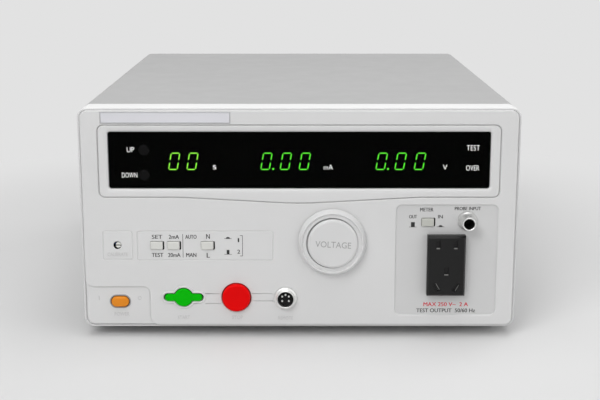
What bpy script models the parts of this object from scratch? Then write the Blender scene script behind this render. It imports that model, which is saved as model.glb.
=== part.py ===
"""Bench leakage current tester, as an assembly of separate pieces.

Metres, +Z up. The front panel faces -Y and +X is to its right. The origin is at the middle of
the footprint, on the surface that the feet stand on. In the functions below, a depth is
measured backwards from the front panel's face, and a rise upwards from the case's bottom.
"""

import math

import bmesh
import bpy
from mathutils import Matrix, Vector

# Fits
clearance = 0.0003
stem_clearance = 0.0005
hole_clearance = 0.0004

# Case
case_width = 0.320
case_height = 0.165
case_depth = 0.360
case_corner = 0.007
cover_sheet = 0.0012
tray_sheet = 0.0015
rear_sheet = 0.0016
rear_inset = 0.003
tray_flange = 0.030

# Front frame and panel
frame_setback = 0.0025
frame_depth = 0.020
frame_lip = 0.0009
frame_groove = 0.0007
frame_ledge = 0.0035
spigot_length = 0.006
panel_thickness = 0.005
panel_corner = 0.0055

# Feet
foot_height = 0.008
foot_radius = 0.011
foot_sole_radius = 0.0095
foot_stem_radius = 0.0025
foot_stem_length = 0.004
foot_side_inset = 0.030
foot_front_depth = 0.045
foot_rear_inset = 0.035

# Name plate
plate_from_left = 0.0172
plate_width = 0.093
plate_height = 0.0078
plate_below_top = 0.0028
plate_thickness = 0.0008
plate_proud = 0.0003

# Display window and what is behind it
window_side_margin = 0.022
window_height = 0.0415
window_below_top = 0.01735
window_corner = 0.0015
window_setback = 0.0008
window_thickness = 0.0025
window_ledge = 0.002
board_thickness = 0.0016
display_board_depth = 0.016
display_board_height = 0.036
display_board_inset = 0.016
post_radius = 0.003
post_inset = 0.0205
post_spread = 0.012
digit_block_height = 0.019
digit_block_depth = 0.0101
digit_pitch = 0.014
digit_block_margin = 0.004
digits_below_middle = 0.0007
timer_from_left = 0.0762
current_from_middle = -0.0099
voltage_from_right = 0.0867
lamp_from_right = 0.0344
lamp_width = 0.0105
lamp_height = 0.0055
lamp_offsets = (0.0091, -0.0057)
lamp_depth = 0.006

# Setting buttons in the window
step_from_left = 0.0479
step_offsets = {"up": 0.0076, "down": -0.0107}
step_cap_radius = 0.0039
step_proud = 0.0012
step_flange_radius = 0.005
step_flange = 0.001
step_stem_radius = 0.0015
step_travel = 0.0008
step_switch_size = 0.006
step_switch_depth = 0.0036

# Push controls
stem_size = 0.003
stem_into_switch = 0.008
power_from_left = 0.0272
power_rise = 0.0201
power_width = 0.013
power_height = 0.0078
power_proud = 0.0022
power_travel = 0.003
power_hole_margin = 0.0007
power_step_width = 0.0495
power_step_height = 0.0316
power_step_corner = 0.0048
sub_panel_step = 0.001
start_from_left = 0.0743
start_rise = 0.0235
start_radius = 0.0066
start_wing_length = 0.027
start_wing_height = 0.0048
start_proud = 0.0012
start_wing_step = 0.0004
start_travel = 0.002
start_margin = 0.0006
stop_from_left = 0.1134
stop_rise = 0.0235
stop_radius = 0.011
stop_proud = 0.003
stop_travel = 0.003
stop_margin = 0.0005
key_width = 0.0091
key_height = 0.0059
key_proud = 0.0015
key_travel = 0.003
key_margin = 0.0004
key_hole_corner = 0.0008
key_rise = 0.0633
key_places = {"preset": 0.0553, "range": 0.0677, "line": 0.0925}
meter_key_from_right = 0.0661
meter_key_rise = 0.0807
cap_inside = 0.0017
switch_width = 0.011
switch_height = 0.012
switch_depth = 0.026
round_switch_size = 0.018
round_switch_depth = 0.030

# Calibration trimmer
trimmer_from_left = 0.0272
trimmer_rise = 0.0635
trimmer_radius = 0.0024
trimmer_setback = 0.0008
trimmer_slot = 0.0007
trimmer_body_size = 0.0095
trimmer_body_depth = 0.006
trimmer_stem_radius = 0.0014

# Voltage regulator
regulator_from_right = 0.136
regulator_rise = 0.0664
knob_radius = 0.0248
knob_proud = 0.006
knob_gap = 0.0008
knob_cap_radius = 0.0184
knob_cap_height = 0.0016
knob_cap_proud = 0.0006
knob_bore_depth = 0.003
shaft_radius = 0.004
variac_front = 0.062
winding_radius = 0.052
winding_bore = 0.022
winding_wall = 0.0047
winding_depth = 0.044
bracket_sheet = 0.003
bracket_half_width = 0.046
bracket_foot = 0.036
bushing_radius = 0.008
bushing_length = 0.014
brush_hub_radius = 0.009
brush_hub_length = 0.008
brush_arm_width = 0.012
brush_arm_thickness = 0.003
brush_radius = 0.040
brush_size = 0.008

# Isolating transformer
core_width = 0.100
core_height = 0.084
core_stack = 0.050
core_leg = 0.033
core_yoke = 0.0165
core_behind_bracket = 0.018
coil_overhang = 0.014
strap_sheet = 0.002
strap_foot = 0.014
strap_beside_board = 0.0007

# Main board
main_board_width = 0.105
main_board_length = 0.135
main_board_from_left = 0.012
main_board_behind_bracket = 0.008
main_board_stand = 0.010
standoff_radius = 0.0035
standoff_inset = 0.008
supply_width = 0.040
supply_length = 0.034
supply_height = 0.032
supply_from_left = 0.012
supply_from_front = 0.020
relay_width = 0.028
relay_length = 0.030
relay_height = 0.022
relay_from_left = 0.062
relay_from_front = 0.020
capacitor_radius = 0.011
capacitor_height = 0.030
capacitor_from_left = 0.080
capacitor_from_front = 0.078

# Remote connector
remote_from_left = 0.1498
remote_rise = 0.0229
remote_flange_radius = 0.009
remote_flange = 0.0016
remote_barrel_radius = 0.0068
remote_bore_radius = 0.0056
remote_proud = 0.004
remote_length = 0.018
remote_insert_recess = 0.003
remote_insert_length = 0.012
pin_radius = 0.00075
pin_circle = 0.003
pin_proud = 0.0015
pin_angles = (90, 35, 145, -35, -145)

# High side: socket panel, test jack and outlet
socket_panel_left = 0.0892
socket_panel_right = 0.0149
socket_panel_low = 0.0098
socket_panel_high = 0.0938
socket_panel_corner = 0.004
jack_from_right = 0.0373
jack_rise = 0.082
jack_flange_radius = 0.007
jack_ring_radius = 0.0051
jack_bore_radius = 0.0039
jack_proud = 0.0115
jack_thread_radius = 0.005
jack_thread_length = 0.012
outlet_from_right = 0.0523
outlet_rise = 0.0488
outlet_width = 0.0279
outlet_height = 0.0446
outlet_proud = 0.007
outlet_chamfer = 0.002
outlet_body_inset = 0.002
outlet_body_depth = 0.019
blade_slot_width = 0.0024
blade_slot_height = 0.0064
blade_spacing = 0.0127
blade_above = 0.0148
earth_below = 0.0054
earth_slot_width = 0.0046
slant_below = 0.0164
slant_spacing = 0.0142
slant_angle = 30
contact_thickness = 0.0008
contact_reach = 0.017
contact_plate = 0.0016

# Rear fittings
inlet_from_left = 0.046
inlet_rise = 0.042
inlet_flange_width = 0.050
inlet_flange_height = 0.0225
inlet_flange = 0.0025
inlet_body_width = 0.0275
inlet_body_height = 0.0200
inlet_body_depth = 0.022
inlet_wall = 0.0015
inlet_cavity_depth = 0.018
inlet_pin_length = 0.012
fuse_from_left = 0.090
fuse_rise = 0.042
fuse_cap_radius = 0.0075
fuse_cap_length = 0.009
fuse_body_radius = 0.0060
fuse_body_length = 0.026
earth_from_left = 0.046
earth_rise = 0.078
earth_post_radius = 0.0025
earth_nut_radius = 0.006
earth_nut_length = 0.007
earth_reach = 0.011
earth_inside = 0.012

# Vents and side grips
vent_width = 0.003
vent_height = 0.045
vent_pitch = 0.009
vent_count = 9
vent_rise = 0.060
vent_front_depth = 0.235
rear_vent_count = 8
rear_vent_from_right = 0.090
rear_vent_rise = 0.085
rear_vent_height = 0.050
grip_length = 0.106
grip_height = 0.034
grip_flange = 0.0015
grip_cup_length = 0.096
grip_cup_height = 0.026
grip_cup_depth = 0.018
grip_wall = 0.0015
grip_depth = 0.150
grip_rise = 0.120

# Cover screws
screw_head_radius = 0.004
screw_head_height = 0.002
screw_radius = 0.002
screw_rise = 0.016
screw_front_depth = 0.065
screw_rear_inset = 0.040
screw_length = 0.006

# Facets
round_sides = 32
small_sides = 16
corner_steps = 5

# The footprint runs from the jack's or the knob's front to the earth post's tip, with the origin midway
front_reach = max(knob_proud + knob_cap_proud, jack_proud - sub_panel_step)
rear_face = case_depth - rear_inset
rear_reach = max(case_depth, rear_face + earth_reach)
face_y = (front_reach - rear_reach) / 2.0


def depth_at(value):
    return face_y + value


def from_left(value):
    return value - case_width / 2.0


def from_right(value):
    return case_width / 2.0 - value


def rise_at(value):
    return foot_height + value


def below_top(value):
    return foot_height + case_height - value


window_middle = below_top(window_below_top + window_height / 2.0)
window_back = window_setback + window_thickness
switch_front = panel_thickness + clearance
frame_back = frame_setback + frame_depth
regulator_x = from_right(regulator_from_right)
regulator_z = rise_at(regulator_rise)


def clear_scene():
    for old in list(bpy.data.objects):
        bpy.data.objects.remove(old, do_unlink=True)


def new_collection(name):
    collection = bpy.data.collections.new(name)
    bpy.context.scene.collection.children.link(collection)
    return collection


def finish(name, colour, roughness=0.5, metallic=0.0):
    """A plain surface material."""
    material = bpy.data.materials.new(name)
    material.use_nodes = True
    shader = material.node_tree.nodes["Principled BSDF"]
    shader.inputs["Base Color"].default_value = (*colour, 1.0)
    shader.inputs["Roughness"].default_value = roughness
    shader.inputs["Metallic"].default_value = metallic
    material.diffuse_color = (*colour, 1.0)
    return material


clear_scene()
parts = new_collection("leakage_current_tester")
cutters = new_collection("cutters")


# Shapes


def place_mesh(name, mesh, location, turn=None):
    made = bpy.data.objects.new(name, mesh)
    parts.objects.link(made)
    made.location = location
    if turn is not None:
        made.rotation_euler = turn
    return made


def block(name, low, high):
    """A box between two corners, each given as x, depth and z."""
    low = Vector((low[0], depth_at(low[1]), low[2]))
    high = Vector((high[0], depth_at(high[1]), high[2]))
    size = high - low
    shape = bmesh.new()
    bmesh.ops.create_cube(shape, size=1.0, matrix=Matrix.Diagonal((*size, 1.0)))
    mesh = bpy.data.meshes.new(name)
    shape.to_mesh(mesh)
    shape.free()
    return place_mesh(name, mesh, (low + high) / 2.0)


def centred_block(name, x, z, width, height, front, back):
    half = (width / 2.0, height / 2.0)
    return block(name, (x - half[0], front, z - half[1]), (x + half[0], back, z + half[1]))


def cylinder(name, radius, start, end, sides=round_sides, end_radius=None):
    """A cylinder or cone between two points, in world coordinates."""
    start, end = Vector(start), Vector(end)
    along = end - start
    shape = bmesh.new()
    bmesh.ops.create_cone(
        shape,
        cap_ends=True,
        segments=sides,
        radius1=radius,
        radius2=radius if end_radius is None else end_radius,
        depth=along.length,
    )
    mesh = bpy.data.meshes.new(name)
    shape.to_mesh(mesh)
    shape.free()
    made = place_mesh(name, mesh, (start + end) / 2.0)
    made.rotation_euler = along.to_track_quat("Z", "Y").to_euler()
    smooth(made)
    return made


def rod(name, radius, x, z, front, back, sides=round_sides):
    """A round bar that runs from front to back."""
    start = (x, depth_at(front), z)
    return cylinder(name, radius, start, (x, depth_at(back), z), sides)


facing_front = (math.radians(90), 0.0, 0.0)


def turned(name, profile, x, z, sides=round_sides, steps_up=False):
    """Spins a profile of (radius, depth) points about the front to back axis at x, z.

    The profile runs from front to back along its outer side. With steps_up the axis is
    vertical instead, and a point is (radius, height) from top to bottom.
    """
    shape = bmesh.new()
    corners = [shape.verts.new((radius, 0.0, along if steps_up else -along)) for radius, along in profile]
    for first, second in zip(corners, corners[1:]):
        shape.edges.new((first, second))
    if profile[0][0] > 0.0:
        shape.edges.new((corners[-1], corners[0]))
    mesh = bpy.data.meshes.new(name)
    shape.to_mesh(mesh)
    shape.free()
    if steps_up:
        made = place_mesh(name, mesh, (x, z, 0.0))
    else:
        made = place_mesh(name, mesh, (x, face_y, z), facing_front)
    screw = made.modifiers.new("turn", "SCREW")
    screw.axis = "Z"
    screw.steps = sides
    screw.render_steps = sides
    screw.use_merge_vertices = True
    screw.merge_threshold = 0.00001
    screw.use_smooth_shade = True
    return made


def arc(x, z, radius, start, end, steps):
    """Points along an arc, in degrees from +X towards +Z."""
    points = []
    for step in range(steps + 1):
        angle = math.radians(start + (end - start) * step / steps)
        points.append((x + radius * math.cos(angle), z + radius * math.sin(angle)))
    return points


def ring(x, z, radius, sides=round_sides):
    return arc(x, z, radius, 0, 360 - 360 / sides, sides - 1)


def rounded(left, right, low, high, radius):
    """The outline of a rectangle with round corners."""
    if radius <= 0.0:
        return [(left, low), (right, low), (right, high), (left, high)]
    corners = (
        (right - radius, high - radius, 0),
        (left + radius, high - radius, 90),
        (left + radius, low + radius, 180),
        (right - radius, low + radius, 270),
    )
    points = []
    for x, z, start in corners:
        points += arc(x, z, radius, start, start + 90, corner_steps)
    return points


def rounded_at(x, z, width, height, radius):
    return rounded(x - width / 2, x + width / 2, z - height / 2, z + height / 2, radius)


def mesh_of_curve(name, made):
    """A mesh object in the place of a curve object, with its caps welded."""
    bpy.context.view_layer.update()
    evaluated = made.evaluated_get(bpy.context.evaluated_depsgraph_get())
    mesh = bpy.data.meshes.new_from_object(evaluated)
    shape = bmesh.new()
    shape.from_mesh(mesh)
    bmesh.ops.remove_doubles(shape, verts=shape.verts, dist=0.000001)
    shape.to_mesh(mesh)
    shape.free()
    place = made.matrix_world.copy()
    curve = made.data
    bpy.data.objects.remove(made, do_unlink=True)
    bpy.data.curves.remove(curve)
    mesh.name = name
    solid = bpy.data.objects.new(name, mesh)
    parts.objects.link(solid)
    solid.matrix_world = place
    return solid


def plate(name, outlines, front, back):
    """A flat sheet, parallel to the front, of the first outline with the others as holes."""
    curve = bpy.data.curves.new(name, "CURVE")
    curve.dimensions = "2D"
    curve.fill_mode = "BOTH"
    curve.extrude = (back - front) / 2.0
    for outline in outlines:
        spline = curve.splines.new("POLY")
        spline.points.add(len(outline) - 1)
        for point, (x, z) in zip(spline.points, outline):
            point.co = (x, z, 0.0, 1.0)
        spline.use_cyclic_u = True
    made = bpy.data.objects.new(name, curve)
    parts.objects.link(made)
    made.location = (0.0, depth_at((front + back) / 2.0), 0.0)
    made.rotation_euler = facing_front
    return mesh_of_curve(name, made)


def smooth(made):
    made.data.shade_smooth()
    made.data.set_sharp_from_angle(angle=math.radians(35))


def work(target, tool, operation):
    parts.objects.unlink(tool)
    cutters.objects.link(tool)
    tool.hide_render = True
    tool.display_type = "WIRE"
    change = target.modifiers.new(operation.lower(), "BOOLEAN")
    change.operation = operation
    change.solver = "EXACT"
    change.object = tool


def cut(target, tool):
    work(target, tool, "DIFFERENCE")


def join(target, tool):
    work(target, tool, "UNION")


def paint(material, *made):
    for piece in made:
        piece.data.materials.clear()
        piece.data.materials.append(material)


# Finishes

light_enamel = finish("light_enamel", (0.66, 0.66, 0.65), 0.45)
grey_enamel = finish("grey_enamel", (0.50, 0.50, 0.495), 0.5)
zinc_plate = finish("zinc_plate", (0.62, 0.62, 0.60), 0.4, 1.0)
nickel = finish("nickel", (0.75, 0.74, 0.72), 0.25, 1.0)
black_rubber = finish("black_rubber", (0.03, 0.03, 0.03), 0.8)
black_moulding = finish("black_moulding", (0.02, 0.02, 0.02), 0.45)
window_acrylic = finish("window_acrylic", (0.004, 0.004, 0.004), 0.12)
circuit_board = finish("circuit_board", (0.03, 0.18, 0.06), 0.5)
ivory_moulding = finish("ivory_moulding", (0.66, 0.65, 0.57), 0.4)
amber_moulding = finish("amber_moulding", (0.78, 0.26, 0.02), 0.35)
green_moulding = finish("green_moulding", (0.01, 0.50, 0.01), 0.35)
red_moulding = finish("red_moulding", (0.80, 0.01, 0.01), 0.35)
knob_moulding = finish("knob_moulding", (0.72, 0.72, 0.71), 0.35)
copper_winding = finish("copper_winding", (0.55, 0.24, 0.10), 0.4, 1.0)
core_steel = finish("core_steel", (0.16, 0.16, 0.17), 0.55, 1.0)
coil_tape = finish("coil_tape", (0.62, 0.48, 0.10), 0.5)
brass = finish("brass", (0.72, 0.52, 0.22), 0.3, 1.0)
blue_moulding = finish("blue_moulding", (0.02, 0.10, 0.35), 0.4)


# Case


def make_front_frame():
    low, high = rise_at(0.0), below_top(0.0)
    half = case_width / 2.0
    opening = frame_lip + frame_ledge
    rebate = frame_lip
    outer = rounded(-half, half, low, high, case_corner)
    inner = rounded(
        -half + opening, half - opening, low + opening, high - opening, case_corner - opening
    )
    frame = plate("front_frame", [outer, inner], frame_setback, frame_back)
    seat = rounded(-half + rebate, half - rebate, low + rebate, high - rebate, case_corner - rebate)
    cut(frame, plate("frame_rebate", [seat], frame_setback - 0.002, panel_thickness + clearance))
    side = tray_sheet + cover_sheet + 2 * clearance
    spigot_outer = rounded(
        -half + side, half - side, low + side, high - side, case_corner - cover_sheet - clearance
    )
    spigot = plate("frame_spigot", [spigot_outer, inner], frame_back - 0.002, frame_back + spigot_length)
    join(frame, spigot)
    paint(light_enamel, frame)


def panel_outline():
    half = case_width / 2.0
    inset = frame_lip + frame_groove
    return rounded(-half + inset, half - inset, rise_at(inset), below_top(inset), panel_corner)


def start_wings(name, margin, front, back):
    """The flat bar whose two ends are the start button's wings."""
    width = start_wing_length + 2 * margin
    height = start_wing_height + 2 * margin
    outline = rounded_at(from_left(start_from_left), rise_at(start_rise), width, height, height * 0.3)
    return plate(name, [outline], front, back)


def window_span(grow):
    """Left, right, low and high edges of the display window, grown by a margin."""
    half = case_width / 2.0 - window_side_margin + grow
    tall = window_height / 2.0 + grow
    return -half, half, window_middle - tall, window_middle + tall


def outlet_centre():
    return from_right(outlet_from_right), rise_at(outlet_rise)


def display_posts():
    """Centres of the four posts that carry the display board."""
    for side in (-1, 1):
        for level in (-1, 1):
            x = side * (case_width / 2.0 - post_inset)
            yield x, window_middle + level * post_spread


def make_front_panel():
    key_hole = (key_width + 2 * key_margin, key_height + 2 * key_margin)
    power = (power_width + 2 * power_hole_margin, power_height + 2 * power_hole_margin)
    outlet_x, outlet_z = outlet_centre()
    body_inset = 2 * (outlet_body_inset - clearance)
    openings = [
        rounded(*window_span(-window_ledge), window_corner),
        rounded_at(
            from_left(power_from_left), rise_at(power_rise), *power, power[1] / 2.0 - 0.0001
        ),
        ring(from_left(start_from_left), rise_at(start_rise), start_radius + start_margin),
        ring(from_left(stop_from_left), rise_at(stop_rise), stop_radius + stop_margin),
        ring(from_left(remote_from_left), rise_at(remote_rise), remote_barrel_radius + hole_clearance),
        ring(regulator_x, regulator_z, shaft_radius + hole_clearance, small_sides),
        ring(
            from_left(trimmer_from_left),
            rise_at(trimmer_rise),
            trimmer_radius + hole_clearance,
            small_sides,
        ),
        rounded_at(
            from_right(meter_key_from_right), rise_at(meter_key_rise), *key_hole, key_hole_corner
        ),
        ring(
            from_right(jack_from_right),
            rise_at(jack_rise),
            jack_thread_radius + hole_clearance,
            small_sides,
        ),
        rounded_at(
            outlet_x, outlet_z, outlet_width - body_inset, outlet_height - body_inset, 0.0
        ),
    ]
    for place in key_places.values():
        openings.append(rounded_at(from_left(place), rise_at(key_rise), *key_hole, key_hole_corner))
    panel = plate("front_panel", [panel_outline()], 0.0, panel_thickness)
    ahead = -0.002
    cut(panel, plate("panel_openings", openings, ahead, panel_thickness - ahead))
    cut(panel, start_wings("wing_opening", start_margin, ahead, panel_thickness - ahead))
    seat = rounded(*window_span(clearance), window_corner)
    cut(panel, plate("window_seat", [seat], ahead, window_back + clearance))
    half = case_width / 2.0
    power_step = rounded(
        -half - 0.02,
        from_left(power_step_width),
        rise_at(-0.02),
        rise_at(power_step_height),
        power_step_corner,
    )
    cut(panel, plate("power_step", [power_step], ahead, sub_panel_step))
    socket_step = rounded(
        from_right(socket_panel_left),
        from_right(socket_panel_right),
        rise_at(socket_panel_low),
        rise_at(socket_panel_high),
        socket_panel_corner,
    )
    cut(panel, plate("socket_step", [socket_step], ahead, sub_panel_step))
    name_seat = rounded(*name_plate_span(clearance), 0.0)
    cut(panel, plate("name_seat", [name_seat], ahead, plate_thickness - plate_proud + clearance))
    for number, (x, z) in enumerate(display_posts()):
        post = rod(
            f"post_{number}",
            post_radius,
            x,
            z,
            panel_thickness - 0.001,
            display_board_depth - clearance,
            small_sides,
        )
        join(panel, post)
    paint(light_enamel, panel)


def name_plate_span(grow):
    left = from_left(plate_from_left)
    high = below_top(plate_below_top)
    return left - grow, left + plate_width + grow, high - plate_height - grow, high + grow


def make_name_plate():
    back = plate_thickness - plate_proud
    made = plate("name_plate", [rounded(*name_plate_span(0.0), 0.0)], -plate_proud, back)
    paint(light_enamel, made)


def cover_profile(inset, low):
    """The cover's section from one bottom edge over the top to the other, as x, z points."""
    half = case_width / 2.0 - inset
    high = below_top(inset)
    radius = case_corner - inset
    points = [(half, low)]
    points += arc(half - radius, high - radius, radius, 0, 90, corner_steps)
    points += arc(-half + radius, high - radius, radius, 90, 180, corner_steps)
    points.append((-half, low))
    return points


def side_pair(name, depth, rise, length, height):
    """A cutter that goes through both side walls at once."""
    reach = case_width / 2.0 + 0.01
    z = rise_at(rise)
    return block(
        name,
        (-reach, depth - length / 2.0, z - height / 2.0),
        (reach, depth + length / 2.0, z + height / 2.0),
    )


def screw_depths():
    return screw_front_depth, case_depth - screw_rear_inset


def make_top_cover():
    outline = cover_profile(0.0, rise_at(0.0))
    outline += reversed(cover_profile(cover_sheet, rise_at(0.0)))
    cover = plate("top_cover", [outline], frame_back + clearance, case_depth)
    for number in range(vent_count):
        depth = vent_front_depth + number * vent_pitch
        cut(cover, side_pair(f"vent_{number}", depth, vent_rise, vent_width, vent_height))
    cup = (grip_cup_length + 2 * clearance, grip_cup_height + 2 * clearance)
    cut(cover, side_pair("grip_hole", grip_depth, grip_rise, *cup))
    for number, depth in enumerate(screw_depths()):
        cut(cover, screw_hole(f"cover_hole_{number}", depth))
    paint(grey_enamel, cover)


def screw_hole(name, depth):
    """A cutter for the screw holes of both sides."""
    reach = case_width / 2.0 + 0.01
    y, z = depth_at(depth), rise_at(screw_rise)
    return cylinder(name, screw_radius + clearance, (-reach, y, z), (reach, y, z), small_sides)


def foot_places():
    x = case_width / 2.0 - foot_side_inset
    rear = case_depth - foot_rear_inset
    return {
        "foot_front_left": (-x, foot_front_depth),
        "foot_front_right": (x, foot_front_depth),
        "foot_rear_left": (-x, rear),
        "foot_rear_right": (x, rear),
    }


def bracket_depth():
    """Depth of the variac bracket's front, behind the winding."""
    return variac_front + winding_depth + clearance


def main_board_front():
    return bracket_depth() + bracket_foot + main_board_behind_bracket


def board_corners():
    """Centres of the stand-offs under the main board, as x and depth."""
    left = from_left(main_board_from_left) + standoff_inset
    right = from_left(main_board_from_left) + main_board_width - standoff_inset
    front = main_board_front() + standoff_inset
    back = main_board_front() + main_board_length - standoff_inset
    return [(left, front), (right, front), (left, back), (right, back)]


def make_bottom_tray():
    half = case_width / 2.0 - cover_sheet - clearance
    low = rise_at(0.0)
    front = frame_back + spigot_length + clearance
    back = rear_face - rear_sheet - clearance
    tall = low + tray_flange
    outline = [(-half, tall), (-half, low), (half, low), (half, tall)]
    inside = half - tray_sheet
    outline += [(inside, tall), (inside, low + tray_sheet), (-inside, low + tray_sheet), (-inside, tall)]
    tray = plate("bottom_tray", [outline], front, back)
    for number, (x, depth) in enumerate(board_corners()):
        y = depth_at(depth)
        top = low + tray_sheet + main_board_stand - clearance
        start = (x, y, low + tray_sheet / 2.0)
        join(tray, cylinder(f"standoff_{number}", standoff_radius, start, (x, y, top), small_sides))
    for number, depth in enumerate(screw_depths()):
        cut(tray, screw_hole(f"tray_hole_{number}", depth))
    for name, (x, depth) in foot_places().items():
        y = depth_at(depth)
        start = (x, y, low - 0.001)
        end = (x, y, low + tray_sheet + 0.001)
        cut(tray, cylinder(name + "_hole", foot_stem_radius + clearance, start, end, small_sides))
    paint(zinc_plate, tray)


def make_feet():
    for name, (x, depth) in foot_places().items():
        top = foot_height - clearance
        stem_top = foot_height + tray_sheet + foot_stem_length
        profile = [
            (0.0, stem_top),
            (foot_stem_radius, stem_top),
            (foot_stem_radius, top),
            (foot_radius, top),
            (foot_radius, top - 0.0015),
            (foot_sole_radius, 0.0),
            (0.0, 0.0),
        ]
        foot = turned(name, profile, x, depth_at(depth), 24, steps_up=True)
        paint(black_rubber, foot)


def make_cover_screws():
    for side, side_name in ((-1, "left"), (1, "right")):
        for depth, end_name in zip(screw_depths(), ("front", "rear")):
            name = f"cover_screw_{side_name}_{end_name}"
            y, z = depth_at(depth), rise_at(screw_rise)
            under = case_width / 2.0 + clearance
            head = cylinder(
                name,
                screw_head_radius,
                (side * under, y, z),
                (side * (under + screw_head_height), y, z),
                small_sides,
                screw_head_radius * 0.75,
            )
            inner = (side * (under - screw_length), y, z)
            outer = (side * (under + screw_head_height / 2.0), y, z)
            join(head, cylinder(name + "_shank", screw_radius, inner, outer, small_sides))
            paint(zinc_plate, head)


def make_side_grips():
    for side, name in ((-1, "side_grip_left"), (1, "side_grip_right")):
        z = rise_at(grip_rise)
        under = case_width / 2.0 + clearance
        outer = under + grip_flange
        inner = under - grip_cup_depth

        def box_between(label, near, far, length, height):
            ends = sorted((side * near, side * far))
            return block(
                label,
                (ends[0], grip_depth - length / 2.0, z - height / 2.0),
                (ends[1], grip_depth + length / 2.0, z + height / 2.0),
            )

        grip = box_between(name, under, outer, grip_length, grip_height)
        cup = box_between(name + "_cup", inner, outer - 0.0005, grip_cup_length, grip_cup_height)
        join(grip, cup)
        hollow = box_between(
            name + "_hollow",
            inner + grip_wall,
            outer + 0.002,
            grip_cup_length - 2 * grip_wall,
            grip_cup_height - 2 * grip_wall,
        )
        cut(grip, hollow)
        paint(black_moulding, grip)


def make_rear_panel():
    half = case_width / 2.0 - cover_sheet - clearance
    low = rise_at(0.0)
    high = below_top(cover_sheet + clearance)
    outlines = [
        rounded(-half, half, low, high, 0.0),
        rounded_at(
            from_left(inlet_from_left),
            rise_at(inlet_rise),
            inlet_body_width + 2 * clearance,
            inlet_body_height + 2 * clearance,
            0.0,
        ),
        ring(
            from_left(fuse_from_left), rise_at(fuse_rise), fuse_body_radius + clearance, small_sides
        ),
        ring(
            from_left(earth_from_left),
            rise_at(earth_rise),
            earth_post_radius + clearance,
            small_sides,
        ),
    ]
    for number in range(rear_vent_count):
        x = from_right(rear_vent_from_right) + (number - (rear_vent_count - 1) / 2.0) * vent_pitch
        outlines.append(rounded_at(x, rise_at(rear_vent_rise), vent_width, rear_vent_height, 0.0))
    # The top corners clear the cover's bends
    corner = case_corner - cover_sheet - clearance
    outlines[0] = [(-half, low), (half, low)] + arc(
        half - corner, high - corner, corner, 0, 90, corner_steps
    )
    outlines[0] += arc(-half + corner, high - corner, corner, 90, 180, corner_steps)
    panel = plate("rear_panel", outlines, rear_face - rear_sheet, rear_face)
    paint(grey_enamel, panel)


# Display


def make_display_window():
    outlines = [rounded(*window_span(0.0), window_corner)]
    radius = step_cap_radius + hole_clearance
    for offset in step_offsets.values():
        outlines.append(ring(from_left(step_from_left), window_middle + offset, radius, small_sides))
    window = plate("display_window", outlines, window_setback, window_back)
    paint(window_acrylic, window)


def make_display_board():
    half = case_width / 2.0 - display_board_inset
    tall = display_board_height / 2.0
    back = display_board_depth + board_thickness
    board = block(
        "display_board",
        (-half, display_board_depth, window_middle - tall),
        (half, back, window_middle + tall),
    )
    inside = display_board_depth + board_thickness / 2.0
    for name, offset in step_offsets.items():
        switch = centred_block(
            name + "_switch",
            from_left(step_from_left),
            window_middle + offset,
            step_switch_size,
            step_switch_size,
            display_board_depth - step_switch_depth,
            inside,
        )
        join(board, switch)
    for number, offset in enumerate(lamp_offsets):
        lamp = centred_block(
            f"lamp_{number}",
            from_right(lamp_from_right),
            window_middle + offset,
            lamp_width,
            lamp_height,
            lamp_depth,
            inside,
        )
        join(board, lamp)
    paint(circuit_board, board)


def make_digit_blocks():
    z = window_middle - digits_below_middle
    back = display_board_depth - clearance
    blocks = (
        ("timer_display", from_left(timer_from_left), 2),
        ("current_display", current_from_middle, 3),
        ("voltage_display", from_right(voltage_from_right), 3),
    )
    for name, x, digits in blocks:
        width = digits * digit_pitch + digit_block_margin
        made = centred_block(name, x, z, width, digit_block_height, back - digit_block_depth, back)
        paint(black_moulding, made)


def make_step_buttons():
    """The two setting buttons, kept in by a flange behind the window."""
    flange_front = window_back + clearance
    tip = display_board_depth - step_switch_depth - step_travel - clearance
    for name, offset in step_offsets.items():
        profile = [
            (0.0, window_setback - step_proud),
            (step_cap_radius - 0.0006, window_setback - step_proud),
            (step_cap_radius, window_setback - step_proud + 0.0006),
            (step_cap_radius, flange_front),
            (step_flange_radius, flange_front),
            (step_flange_radius, flange_front + step_flange),
            (step_stem_radius, flange_front + step_flange),
            (step_stem_radius, tip),
            (0.0, tip),
        ]
        x, z = from_left(step_from_left), window_middle + offset
        paint(black_moulding, turned(name + "_button", profile, x, z, small_sides))


# Push controls


def add_stem(cap, name, x, z):
    """Joins the square stem that reaches into the switch behind the panel."""
    back = switch_front + stem_into_switch
    join(cap, centred_block(name + "_stem", x, z, stem_size, stem_size, cap_inside - 0.001, back))


def stem_well(name, x, z, travel):
    """A cutter for the square well that a stem moves in."""
    size = stem_size + 2 * stem_clearance
    floor = switch_front + stem_into_switch + travel + clearance
    return centred_block(name, x, z, size, size, switch_front - 0.002, floor)


def make_switch(name, x, z, width, height, depth, travel):
    """A switch body that stands against the panel's back, with a well for the stem."""
    body = centred_block(name, x, z, width, height, switch_front, switch_front + depth)
    cut(body, stem_well(name + "_well", x, z, travel))
    paint(black_moulding, body)


def make_power_control():
    x, z = from_left(power_from_left), rise_at(power_rise)
    outline = rounded_at(x, z, power_width, power_height, power_height / 2.0 - 0.0001)
    button = plate("power_button", [outline], sub_panel_step - power_proud, cap_inside)
    add_stem(button, "power", x, z)
    paint(amber_moulding, button)
    make_switch("power_switch", x, z, round_switch_size, switch_height, round_switch_depth, power_travel)


def make_start_control():
    x, z = from_left(start_from_left), rise_at(start_rise)
    button = rod("start_button", start_radius, x, z, -start_proud, cap_inside)
    join(button, start_wings("start_wings", 0.0, -start_proud + start_wing_step, cap_inside - 0.0002))
    add_stem(button, "start", x, z)
    paint(green_moulding, button)
    size = round_switch_size
    make_switch("start_switch", x, z, size, size, round_switch_depth, start_travel)


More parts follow.
